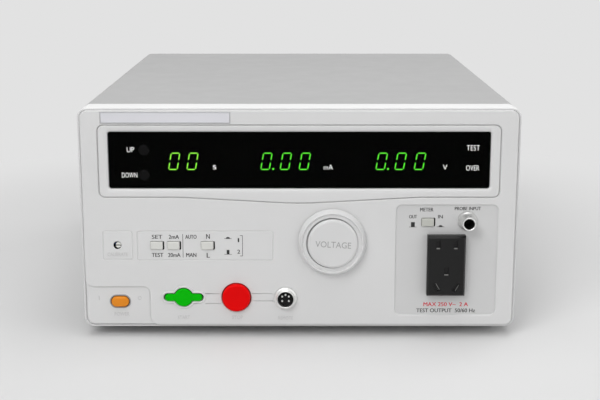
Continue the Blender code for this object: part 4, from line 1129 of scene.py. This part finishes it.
def makeKnob():
    x, up = spots["knob"]
    front, sides = knob["front"], knob["sides"]
    rides = {"slot": "knob_moulding", "body": "regulator"}
    shape, cutter = bmesh.new(), bmesh.new()
    turned(shape, knob["body"], at(x, up), sides)
    for side in (-1, 1):
        notch = boxed(x + side * knob["notchReach"], up, *knob["notch"])
        slab(cutter, notch, front - 1, front + knob["notchDepth"], 0)
    finishPiece(carved(shape, cutter), "knob_body", knobPlastic, replaced=("regulator_knob",), **rides)
    shape = bmesh.new()
    shiftX, shiftUp = knob["capShift"]
    turned(shape, knob["cap"], at(x + shiftX, up + shiftUp), sides)
    finishPiece(shape, "knob_cap_disc", knobPlastic, replaced=("knob_cap",), **rides)
    shape = bmesh.new()
    shiftX, shiftUp = knob["wordShift"]
    word(
        shape, "VOLTAGE", x + shiftX, up + shiftUp, *knob["word"], knob["wordFront"], knob["wordHeight"],
        lean=knob["wordLean"],
    )
    finishPiece(shape, "knob_legend", greyInk, **rides)


makeStart()
makeStop()
makePower()
for keyName in leftKeys:
    makeKey(keyName, caps["keyFront"], keyPlastic)
makeKey("meter", caps["meterFront"], meterKeyPlastic)
makeShadeLiners()
makeTrimmer()
makeKnob()
print("controls made")

connector = {
    "ring": [  # radius, depth
        (5.9, -3.9), (6.1, -4.1), (6.4, -4.1), (6.7, -3.8), (6.85, -3.3), (6.95, -2.3), (7.2, -2.0),
        (7.9, -1.85), (8.3, -1.5), (8.5, -1.0), (8.5, -0.3), (6.8, -0.3), (6.8, 14.0), (5.9, 14.0), (5.9, -3.9),
    ],
    "core": [(0, -1.5), (5.3, -1.5), (5.65, -1.4), (5.8, -1.1), (5.8, 11.0), (0, 11.0)],
    "keyway": (1.9, 2.0, 0.3),
    "keywayDrop": 5.6,
    "keywayBack": 3.0,
    "cutFront": -2,
    "pinAngles": (90, 35, 145, -35, -145),
    "pinReach": 3,
    "pinHole": (0.9, 20),  # radius, sides
    "pinHoleBack": 10.0,
    "pin": [(0, -2.5), (0.35, -2.46), (0.58, -2.3), (0.7, -1.95), (0.7, 11.8), (0, 11.8)],
    "disc": [(0, 11.3), (4.8, 11.3), (4.8, 12.3), (0, 12.3)],
}


def makeConnector():
    x, up = spots["connector"]
    pins = [around(x, up, connector["pinReach"], math.radians(angle)) for angle in connector["pinAngles"]]
    shape = bmesh.new()
    turned(shape, connector["ring"], at(x, up))
    finishPiece(shape, "connector_ring", nickel, "nickel_plate", replaced=("connector_shell",))
    shape, cutter = bmesh.new(), bmesh.new()
    turned(shape, connector["core"], at(x, up))
    cutFront = connector["cutFront"]
    keyway = boxed(x, up - connector["keywayDrop"], *connector["keyway"])
    slab(cutter, keyway, cutFront, connector["keywayBack"], 0)
    for pin in pins:
        slab(cutter, circled(*pin, *connector["pinHole"]), cutFront, connector["pinHoleBack"], 0)
    shape = carved(shape, cutter)
    finishPiece(shape, "connector_core", insertPlastic, "black_moulding", replaced=("connector_insert",))
    shape = bmesh.new()
    for pin in pins:
        turned(shape, connector["pin"], at(*pin), 20)
    turned(shape, connector["disc"], at(x, up))
    finishPiece(shape, "connector_contacts", nickel, "nickel_plate", replaced=("connector_pins",))


jack = {
    "body": [  # radius, depth
        (0, 5.0), (3.9, 5.0), (3.9, -9.9), (4.05, -10.3), (4.4, -10.5), (4.75, -10.4), (5.0, -10.1),
        (5.1, -9.6), (5.1, -8.6), (5.25, -7.4), (5.6, -3.4), (6.3, -2.0), (6.85, -1.5), (7.0, -1.0), (7.0, 0.7),
        (5.0, 0.7), (5.0, 12.7), (0, 12.7),
    ],
    "shadeLiner": [(3.87, -9.7), (3.87, 4.9), (3.72, 4.9), (3.72, -9.5), (3.78, -9.65), (3.87, -9.7)],
    "floor": [(0, 4.6), (3.75, 4.6), (3.75, 4.95), (0, 4.95)],
}


def makeJack():
    place = at(*spots["jack"])
    shape = bmesh.new()
    turned(shape, jack["body"], place)
    finishPiece(shape, "jack_body", nickel, "nickel_plate", replaced=("test_jack",))
    # A thin near-black lining and floor in the bore: painted shade inside the hole
    shape = bmesh.new()
    turned(shape, jack["shadeLiner"], place, 48)
    turned(shape, jack["floor"], place, 48)
    finishPiece(shape, "jack_shade_liner", blackPlastic, "nickel_plate")


outlet = {
    "width": 27.9,
    "height": 45.6,
    "bevel": 1.4,
    "front": -6.0,
    "bevelBack": 2.1,
    "seat": 0.6,
    "core": (23.9, 40.6, 0.3),
    "coreFront": 0.7,
    "coreBack": 19.5,
    "shutter": 1.7,  # the slots end here, behind the face
    "slots": [  # x, up, width, height, lean
        (-6.35, 16.3, 2.8, 6.2, 0), (6.35, 16.3, 2.8, 6.2, 0), (0, -3.8, 3.0, 6.0, 0),
        (-7.1, -15.8, 2.6, 6.4, 30), (7.1, -15.8, 2.6, 6.4, -30),
    ],
    "soften": 0.0003,
}


def makeOutlet():
    x, up = spots["outlet"]
    bevel, front = outlet["bevel"], outlet["front"]
    shutter = front + outlet["shutter"]
    shape, cutter, tips = bmesh.new(), bmesh.new(), bmesh.new()
    closed(shape, boxed(x, up, outlet["width"] - 2 * bevel, outlet["height"] - 2 * bevel, 0), [
        (-0.1, front), (0.08, front + 0.05), (bevel - 0.08, front + outlet["bevelBack"] - 0.2),
        (bevel, front + outlet["bevelBack"]), (bevel, outlet["seat"]),
    ])
    for slotX, slotUp, width, height, lean in outlet["slots"]:
        place = at(x + slotX, up + slotUp) @ Matrix.Rotation(math.radians(-lean), 4, "Y")
        part = bmesh.new()
        sides = [(0.4, front - 1), (0.2, front - 0.02), (0, front + 0.2), (0, shutter)]
        closed(part, boxed(0, 0, width, height, 0.2), sides)
        add(cutter, part, place)
        if lean:
            tip = boxed(width / 2 - 0.25, 0, 0.25, height * 0.8, 0)
        else:
            tip = boxed(0, 0.55 - height / 2, width * 0.95, 0.6, 0)
        part = bmesh.new()
        slab(part, tip, front + 0.5, shutter + 0.2, 0)
        add(tips, part, place)
    shape = carved(shape, cutter)
    slab(shape, boxed(x, up, *outlet["core"]), outlet["coreFront"], outlet["coreBack"], 0)
    finishPiece(
        shape, "outlet_body", socketPlastic, "black_moulding", replaced=("outlet_socket",), soften=outlet["soften"]
    )
    finishPiece(tips, "outlet_contact_tips", tipMetal, "brass")


makeConnector()
makeJack()
makeOutlet()
print("sockets made")

recessPrint = panel["stepDepth"] + printFront
panelWords = [  # text, x, up, width, height
    ("SET", -104.2, 69.9, 7.6, 3.0), ("TEST", -104.2, 56.1, 8.4, 3.0),
    ("2mA", -91.9, 69.9, 7.4, 3.0), ("20mA", -91.9, 56.1, 9.0, 3.0),
    ("AUTO", -79.4, 69.9, 8.2, 3.0), ("MAN", -79.4, 56.1, 7.4, 3.0),
    ("N", -66.9, 70.2, 2.6, 3.6), ("L", -66.9, 55.9, 2.2, 3.6),
    ("1", -44.6, 67.4, 0.9, 3.0), ("2", -44.5, 58.6, 2.0, 3.0),
]
recessWords = [
    ("METER", 93.0, 90.2, 9.6, 2.7), ("OUT", 83.1, 84.9, 5.6, 2.6), ("IN", 103.1, 84.9, 3.4, 2.6),
    ("PROBE INPUT", 123.0, 91.0, 19.0, 2.5),
]
panelLines = [  # x, up, width, height
    (-85.4, 63.1, 0.35, 17.8), (-41.7, 63.1, 0.35, 15.5),
    (-42.6, 70.85, 1.9, 0.35), (-42.6, 55.35, 1.9, 0.35),
]
outletWord = ("MAX 250 V~  2 A", 108.7, 17.8, 33.0, 3.1)
outputWord = ("TEST OUTPUT  50/60 Hz", 108.8, 13.0, 43.6, 3.0)
mouldedWords = [  # text, x, up, width, height, depth of the face that it stands on
    ("CALIBRATE", -133.4, 56.6, 15.0, 2.6, 0), ("START", -85.8, 7.9, 9.0, 2.8, 0),
    ("STOP", -46.0, 7.9, 8.0, 2.8, 0), ("REMOTE", -10.2, 7.4, 11.0, 2.6, 0),
    ("POWER", -131.9, 10.2, 11.0, 2.8, 1), ("I", -148.5, 22.6, 0.6, 3.0, 1), ("O", -118.4, 22.6, 2.8, 3.0, 1),
]
marks = {  # a base line with a dome over it for pressed, or with a block on it for released
    "lines": [
        (-52.3, 68.5, 5.4, 0.3, printFront), (-52.3, 56.6, 5.4, 0.3, printFront),
        (83.1, 77.1, 5.4, 0.3, recessPrint), (103.4, 77.2, 5.4, 0.3, recessPrint),
    ],
    "domes": [(-52.3, 68.7, printFront), (103.4, 77.4, recessPrint)],
    "domeSize": (1.5, 1.1),
    "blocks": [(-52.3, 58.3, 2.0, 3.2, printFront), (83.1, 79.0, 2.8, 3.6, recessPrint)],
}


def makeMarks():
    wide, tall = marks["domeSize"]
    dome = [(math.cos(math.radians(a)) * wide, math.sin(math.radians(a)) * tall) for a in range(0, 181, 20)]
    shape = bmesh.new()
    for entry in marks["lines"]:
        bar(shape, *entry)
    for x, up, front in marks["domes"]:
        slab(shape, [(x + a, up + b) for a, b in dome], front, front + printHeight, 0)
    for entry in marks["blocks"]:
        bar(shape, *entry)
    finishPiece(shape, "position_marks", blackInk, "light_moulding")


def makeWords():
    shape = bmesh.new()
    for entry in panelWords:
        word(shape, *entry, bold=penWidth)
    for entry in panelLines:
        bar(shape, *entry)
    for entry in recessWords:
        word(shape, *entry, recessPrint, bold=penWidth)
    finishPiece(shape, "panel_legends", darkInk, "light_moulding")
    makeMarks()
    for name, entry, material in (("outlet", outletWord, redInk), ("output", outputWord, darkInk)):
        shape = bmesh.new()
        word(shape, *entry, recessPrint, bold=penWidth)
        finishPiece(shape, name + "_legend", material, "light_moulding")

    # Words moulded in the panel, in a grey a little darker than the panel's own: painted shade along their raised
    # edges
    shape = bmesh.new()
    for *entry, face in mouldedWords:
        word(shape, *entry, face - 0.2, 0.3)
    finishPiece(shape, "moulded_words", wordPaintedShade, "light_moulding")


makeWords()
print("legends made")

dressed("top_cover", coverEnamel, "cover_enamel", 0.0003)
dressed("rear_panel", rearEnamel, "cover_enamel", 0.0002)
dressed("bottom_tray", zinc, "zinc_steel", 0.0002)
for gripName in ("side_grip_left", "side_grip_right"):
    dressed(gripName, gripPlastic, "black_moulding", 0.0005)

# Rear space: as seen from behind, x to the right, depth into the case, and up from the case's bottom
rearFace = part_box("rear_panel")[1].y
rearSpace = Matrix.Translation((0, rearFace, caseBottom)) @ Matrix.Rotation(math.pi, 4, "Z") @ toMetres
rear = {
    "inlet": (114.0, 42.0),
    "fuse": (70.0, 42.0),
    "earth": (114.0, 78.0),
    "seat": -0.3,  # the fittings stand on the plate's outer face
    "screws": ((-146, 12), (146, 12), (-146, 152), (146, 152), (0, 156), (0, 12)),
    "screw": (3.2, 1.8),  # radius, proud
}


def makeScrew(name, centre, outward, radius, proud, replaced=()):
    # A pan head with a crossed recess. Its face looks along outward.
    shape, cutter = bmesh.new(), bmesh.new()
    turned(shape, [
        (0, -proud), (radius * 0.45, -proud * 0.97), (radius * 0.8, -proud * 0.7), (radius * 0.97, -proud * 0.35),
        (radius, -proud * 0.1), (radius, 0), (radius * 0.5, 0), (radius * 0.5, 5), (0, 5),
    ], sides=40)
    tip, arm = radius * 0.55, radius * 0.12
    half = [(arm, -tip), (arm, -arm), (tip, -arm), (tip, arm), (arm, arm), (arm, tip)]
    slab(cutter, half + [(-x, -up) for x, up in half], -proud - 1, -proud * 0.35, 0)
    shape = carved(shape, cutter)
    turn = Vector((0, -1, 0)).rotation_difference(Vector(outward)).to_matrix().to_4x4()
    bmesh.ops.transform(shape, matrix=Matrix.Translation(centre) @ turn @ toMetres, verts=shape.verts)
    finishPiece(shape, name, zinc, "zinc_steel", replaced=replaced, space=None)


inlet = {
    "flange": (49.6, 22.2, 2.0),  # width, height, corner
    "flangeFront": -2.5,
    "flangeEdge": 0.7,
    "mouth": (24.3, 16.8, 0.6),
    "mouthEdge": 0.6,
    "mouthBack": 15.3,
    "shell": (27.3, 19.8, 1.0),
    "shellBack": 21.9,
    "wedge": ((12.3, 3.6), (12.3, 8.5), (7.6, 8.5)),  # fills the two upper corners of the mouth
    "wedgeFront": 3.0,
    "pins": ((-7, -1.5), (0, 2.0), (7, -1.5)),
    "pin": (2.0, 4.0, 0.3),
    "pinFront": 3.6,
    "pinBack": 15.5,
    "pinEdge": 0.4,
    "screwReach": 20.0,
    "screwSink": 0.05,
    "screw": (2.7, 0.9),  # radius, proud
}


def makeInlet():
    x, up = rear["inlet"]
    seat = rear["seat"]
    front, mouthBack = seat + inlet["flangeFront"], inlet["mouthBack"]
    shape = bmesh.new()
    fronts, backs = raised(shape, [
        (boxed(x, up, *inlet["flange"]), rim(inlet["flangeEdge"], front, seat)),
        (boxed(x, up, *inlet["mouth"]), rim(inlet["mouthEdge"], front, mouthBack, hole=True)),
    ])
    fill(shape, *fronts)
    fill(shape, backs[1])
    first, last = chain(shape, boxed(x, up, *inlet["shell"]), [(0, seat), (0, inlet["shellBack"])])
    fill(shape, backs[0], first)
    fill(shape, last)
    for side in (-1, 1):
        wedge = [(x + side * across, up + above) for across, above in inlet["wedge"]]
        slab(shape, wedge, inlet["wedgeFront"], mouthBack, 0)
    finishPiece(shape, "inlet_shell", blackPlastic, "black_moulding", replaced=("mains_inlet",), space=rearSpace)
    shape = bmesh.new()
    for across, above in inlet["pins"]:
        pin = boxed(x + across, up + above, *inlet["pin"])
        slab(shape, pin, inlet["pinFront"], inlet["pinBack"], inlet["pinEdge"])
    finishPiece(shape, "inlet_blades", nickel, "nickel_plate", space=rearSpace)
    for side, sideName in ((-1, "left"), (1, "right")):
        centre = rearSpace @ Vector((x + side * inlet["screwReach"], front + inlet["screwSink"], up))
        makeScrew(f"inlet_screw_{sideName}", centre, (0, 1, 0), *inlet["screw"])


fuse = {  # depths are from the seat
    "ribs": 36,
    "inner": 7.0,
    "outer": 7.45,
    "cap": [(-1.1, -8.95), (-0.3, -8.6), (0, -8.0), (0, -1.6)],  # grow, depth
    "slot": (10.0, 1.4, 0),
    "slotFront": -10,
    "slotBack": -7.4,
    "collar": [(0, -1.7), (7.1, -1.7), (7.5, -1.3), (7.5, 0), (5.9, 0)],  # radius, depth
    "bodyBack": 25.9,
}


def seated(points):
    return [(reach, rear["seat"] + depth) for reach, depth in points]


def makeFuse():
    # A cap with a grip of fine ribs and a slot for a screwdriver
    x, up = rear["fuse"]
    seat, bodyBack = rear["seat"], fuse["bodyBack"]
    shape, cutter = bmesh.new(), bmesh.new()
    closed(shape, ribbed(x, up, fuse["ribs"], fuse["inner"], fuse["outer"]), seated(fuse["cap"]))
    slab(cutter, boxed(x, up, *fuse["slot"]), seat + fuse["slotFront"], seat + fuse["slotBack"], 0)
    shape = carved(shape, cutter)
    body = [(fuse["collar"][-1][0], bodyBack), (0, bodyBack)]
    turned(shape, seated(fuse["collar"]) + body, at(x, up), 48)
    finishPiece(shape, "fuse_cap", blackPlastic, "black_moulding", replaced=("fuse_holder",), space=rearSpace)


earth = {
    "tip": [(0, -10.95), (1.9, -10.95), (2.3, -10.6)],  # radius, depth
    "thread": (2.45, 2.15),  # the crest's radius and the root's
    "threadFront": -10.4,
    "pitch": 0.55,
    "toRoot": 0.28,
    "turns": 6,
    "post": [(2.3, -7.0), (2.3, 13.5), (0, 13.5)],
    "washer": [(2.3, -0.8), (5.8, -0.8), (5.95, -0.65), (5.95, 0), (2.3, 0), (2.3, -0.8)],  # from the seat
    "ribs": 28,
    "inner": 5.55,
    "outer": 5.95,
    "nut": [(-1.0, -7.0), (-0.15, -6.6), (0, -6.2), (0, -1.4), (-0.3, -0.9)],  # grow, depth from the seat
}


def makeEarth():
    # A threaded post with a knurled nut over a plain washer
    x, up = rear["earth"]
    crest, root = earth["thread"]
    thread = list(earth["tip"])
    for step in range(earth["turns"]):
        depth = earth["threadFront"] + step * earth["pitch"]
        thread += [(crest, depth), (root, depth + earth["toRoot"])]
    shape = bmesh.new()
    turned(shape, thread + earth["post"], at(x, up), 32)
    turned(shape, seated(earth["washer"]), at(x, up), 48)
    closed(shape, ribbed(x, up, earth["ribs"], earth["inner"], earth["outer"]), seated(earth["nut"]))
    finishPiece(shape, "earth_post", brass, "brass", replaced=("earth_terminal",), space=rearSpace)


rearWords = [("AC IN", "inlet", -16.0, 11.0, 3.0), ("FUSE", "fuse", -12.5, 9.5, 3.0)]
earthSign = [(-10.2, 0.5, 2.6), (-11.6, 5.6, 0.5), (-12.8, 3.7, 0.5), (-14.0, 1.9, 0.5)]  # a stem and three bars


def makeRearMarks():
    shape = bmesh.new()
    for text, fitting, offset, width, height in rearWords:
        x, up = rear[fitting]
        word(shape, text, x, up + offset, width, height, bold=penWidth)
    x, up = rear["earth"]
    for drop, width, height in earthSign:
        bar(shape, x, up + drop, width, height)
    finishPiece(shape, "rear_marks", blackInk, "cover_enamel", space=rearSpace)
    for number, (x, up) in enumerate(rear["screws"]):
        makeScrew(f"rear_screw_{number + 1}", rearSpace @ Vector((x, 0, up)), (0, 1, 0), *rear["screw"])


shadeSheet = {
    "rear": (-104, -36, 57, 113, 2),
    "rearFront": 1.9,
    "side": (84, 52, 2),
    "sideSpot": (92.25, 60),
    "sideX": 0.1585,  # metres
    "thickness": 0.4,
}


def makeShadeSheets():
    # A near-black sheet behind the vents: painted shade for the dark inside of the case
    shape = bmesh.new()
    slab(shape, spanned(*shadeSheet["rear"]), shadeSheet["rearFront"], shadeSheet["rearFront"] + shadeSheet["thickness"], 0)
    finishPiece(shape, "rear_vent_shade_sheet", maskCardAndPaintedShade, "black_moulding", space=rearSpace)
    along, up = shadeSheet["sideSpot"]
    for side, sideName in ((-1, "left"), (1, "right")):
        turn = Matrix.Rotation(side * math.pi / 2, 4, "Z")
        sideSpace = Matrix.Translation((side * shadeSheet["sideX"], 0, caseBottom)) @ turn @ toMetres
        shape = bmesh.new()
        slab(shape, boxed(side * along, up, *shadeSheet["side"]), 0.0, shadeSheet["thickness"], 0)
        finishPiece(shape, f"{sideName}_vent_shade_sheet", maskCardAndPaintedShade, "black_moulding", space=sideSpace)


footProfile = [  # radius, height over the floor
    (0, 0.4), (5.0, 0.4), (5.4, 0.0), (9.0, 0.0), (9.5, 0.35), (10.9, 5.8), (11.0, 6.3),
    (10.85, 7.3), (10.3, 7.7), (2.5, 7.7), (2.5, 13.5), (0, 13.5),
]


def makeFeet():
    for name in ("foot_front_left", "foot_front_right", "foot_rear_left", "foot_rear_right"):
        low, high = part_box(name)
        middle = Matrix.Translation(((low.x + high.x) / 2, (low.y + high.y) / 2, 0))
        shape = bmesh.new()
        turned(shape, footProfile, sides=48)
        bmesh.ops.transform(shape, matrix=middle @ quarterTurn("X") @ toMetres, verts=shape.verts)
        finishPiece(shape, name + "_pad", footRubber, "black_rubber", replaced=(name,), space=None)


coverSide = 0.1603  # metres
coverScrew = (4.0, 2.0)  # radius, proud


def makeCoverScrews():
    for side, sideName in ((-1, "left"), (1, "right")):
        for endName in ("front", "rear"):
            name = f"cover_screw_{sideName}_{endName}"
            low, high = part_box(name)
            centre = (side * coverSide, (low.y + high.y) / 2, (low.z + high.z) / 2)
            makeScrew(name + "_head", centre, (side, 0, 0), *coverScrew, (name,))


makeFeet()
makeCoverScrews()
makeInlet()
makeFuse()
makeEarth()
makeRearMarks()
makeShadeSheets()
print("case made")

innerFinishes = (
    (greenBoard, ("display_board", "main_board")),
    (blackPlastic, ("power_switch", "start_switch", "stop_switch", "key_switch_bank", "meter_switch")),
    (blackPlastic, ("smoothing_capacitor",)),
    (blueMoulding, ("trimmer_body", "output_relay")),
    (zinc, ("regulator_shaft", "variac_bracket", "brush_arm", "transformer_strap", "outlet_contacts")),
    (copperWire, ("variac_winding",)),
    (sheetSteel, ("variac_core", "transformer_core")),
    (coilTape, ("transformer_coil", "supply_transformer")),
)
for innerMaterial, innerNames in innerFinishes:
    for innerName in innerNames:
        innerMesh = nodes[innerName].data
        for index in range(len(innerMesh.materials)):
            innerMesh.materials[index] = innerMaterial
        if not innerMesh.materials:
            innerMesh.materials.append(innerMaterial)
print("inner nodes finished")

camera = {
    "place": (0.0005, faceY - 0.7753, 0.2969),
    "pitch": 11.35,
    "lens": 65.8,
    "sensor": 36,
    "shiftUp": -0.08,
    "clip": (0.01, 50),
}
studio = {
    "floor": grey(216),
    "floorSize": 12,
    "floorRough": 0.7,
    "ground": grey(226),
    "floorNear": 0.26,
    "floorFar": 0.6,
    "worldLevel": 0.28,
}
lamps = {  # place, aim, size, power
    "keyLamp": ((-0.8, -1.5, 1.4), (0, -0.1, 0.08), 1.0, 17.4),
    "fillLamp": ((1.4, -1.3, 0.7), (0, -0.1, 0.08), 1.2, 5.0),
    "topLamp": ((0.1, -0.22, 1.7), (0, -0.02, 0.1), 1.4, 16.2),
    "rearLamp": ((1.7, 1.25, 0.9), (0, 0.1, 0.08), 1.2, 9),
}


def makeCamera():
    lens = bpy.data.cameras.new("camera")
    lens.lens = camera["lens"]
    lens.sensor_width = camera["sensor"]
    lens.shift_y = camera["shiftUp"]
    lens.clip_start, lens.clip_end = camera["clip"]
    holder = bpy.data.objects.new("camera", lens)
    holder.location = camera["place"]
    holder.rotation_euler = (math.radians(90 - camera["pitch"]), 0, 0)
    bpy.context.scene.collection.objects.link(holder)
    bpy.context.scene.camera = holder


def makeLamps():
    for name, (place, aim, size, power) in lamps.items():
        lamp = bpy.data.lights.new(name, "AREA")
        lamp.shape = "SQUARE"
        lamp.size = size
        lamp.energy = power
        holder = bpy.data.objects.new(name, lamp)
        holder.location = place
        holder.rotation_euler = (Vector(aim) - Vector(place)).to_track_quat("-Z", "Y").to_euler()
        bpy.context.scene.collection.objects.link(holder)


def seenRay(tree):
    # 1 for what the camera sees, also in metal and through glass
    path = tree.nodes.new("ShaderNodeLightPath")
    clear = maths(tree, "MAXIMUM", path.outputs["Is Glossy Ray"], path.outputs["Is Transmission Ray"])
    return maths(tree, "MAXIMUM", path.outputs["Is Camera Ray"], clear)


def mixShaders(tree, factor, first, second, output):
    both = node(tree, "ShaderNodeMixShader", {0: factor})
    tree.links.new(first.outputs[0], both.inputs[1])
    tree.links.new(second.outputs[0], both.inputs[2])
    tree.links.new(both.outputs[0], tree.nodes[output].inputs["Surface"])


def makeFloor():
    shape = bmesh.new()
    bmesh.ops.create_grid(shape, x_segments=8, y_segments=8, size=studio["floorSize"])
    mesh = bpy.data.meshes.new("floor")
    shape.to_mesh(mesh)
    shape.free()
    floor = bpy.data.objects.new("floor", mesh)
    bpy.context.scene.collection.objects.link(floor)
    material = bpy.data.materials.new("studioFloor")
    material.use_nodes = True
    tree = material.node_tree
    principled = tree.nodes["Principled BSDF"]
    principled.inputs["Base Color"].default_value = studio["floor"]
    principled.inputs["Roughness"].default_value = studio["floorRough"]
    away = node(tree, "ShaderNodeVectorMath", {0: objectSpot(tree)}, operation="LENGTH").outputs["Value"]
    near, far = studio["floorNear"], studio["floorFar"]
    fade = ranged(tree, away, near, far, 0.0, 1.0, interpolation_type="SMOOTHSTEP")
    plain = node(tree, "ShaderNodeEmission", {"Color": studio["ground"], "Strength": 1.0})
    mixShaders(tree, maths(tree, "MULTIPLY", fade, seenRay(tree)), principled, plain, "Material Output")
    mesh.materials.append(material)


def makeWorld():
    world = bpy.data.worlds.new("studio")
    bpy.context.scene.world = world
    world.use_nodes = True
    tree = world.node_tree
    light = tree.nodes["Background"]
    light.inputs["Color"].default_value = (1, 1, 1, 1)
    light.inputs["Strength"].default_value = studio["worldLevel"]
    seen = node(tree, "ShaderNodeBackground", {"Color": studio["ground"], "Strength": 1.0})
    mixShaders(tree, seenRay(tree), light, seen, "World Output")


makeCamera()
makeFloor()
makeWorld()
makeLamps()
bpy.context.scene.view_settings.view_transform = "Standard"
print("studio made")
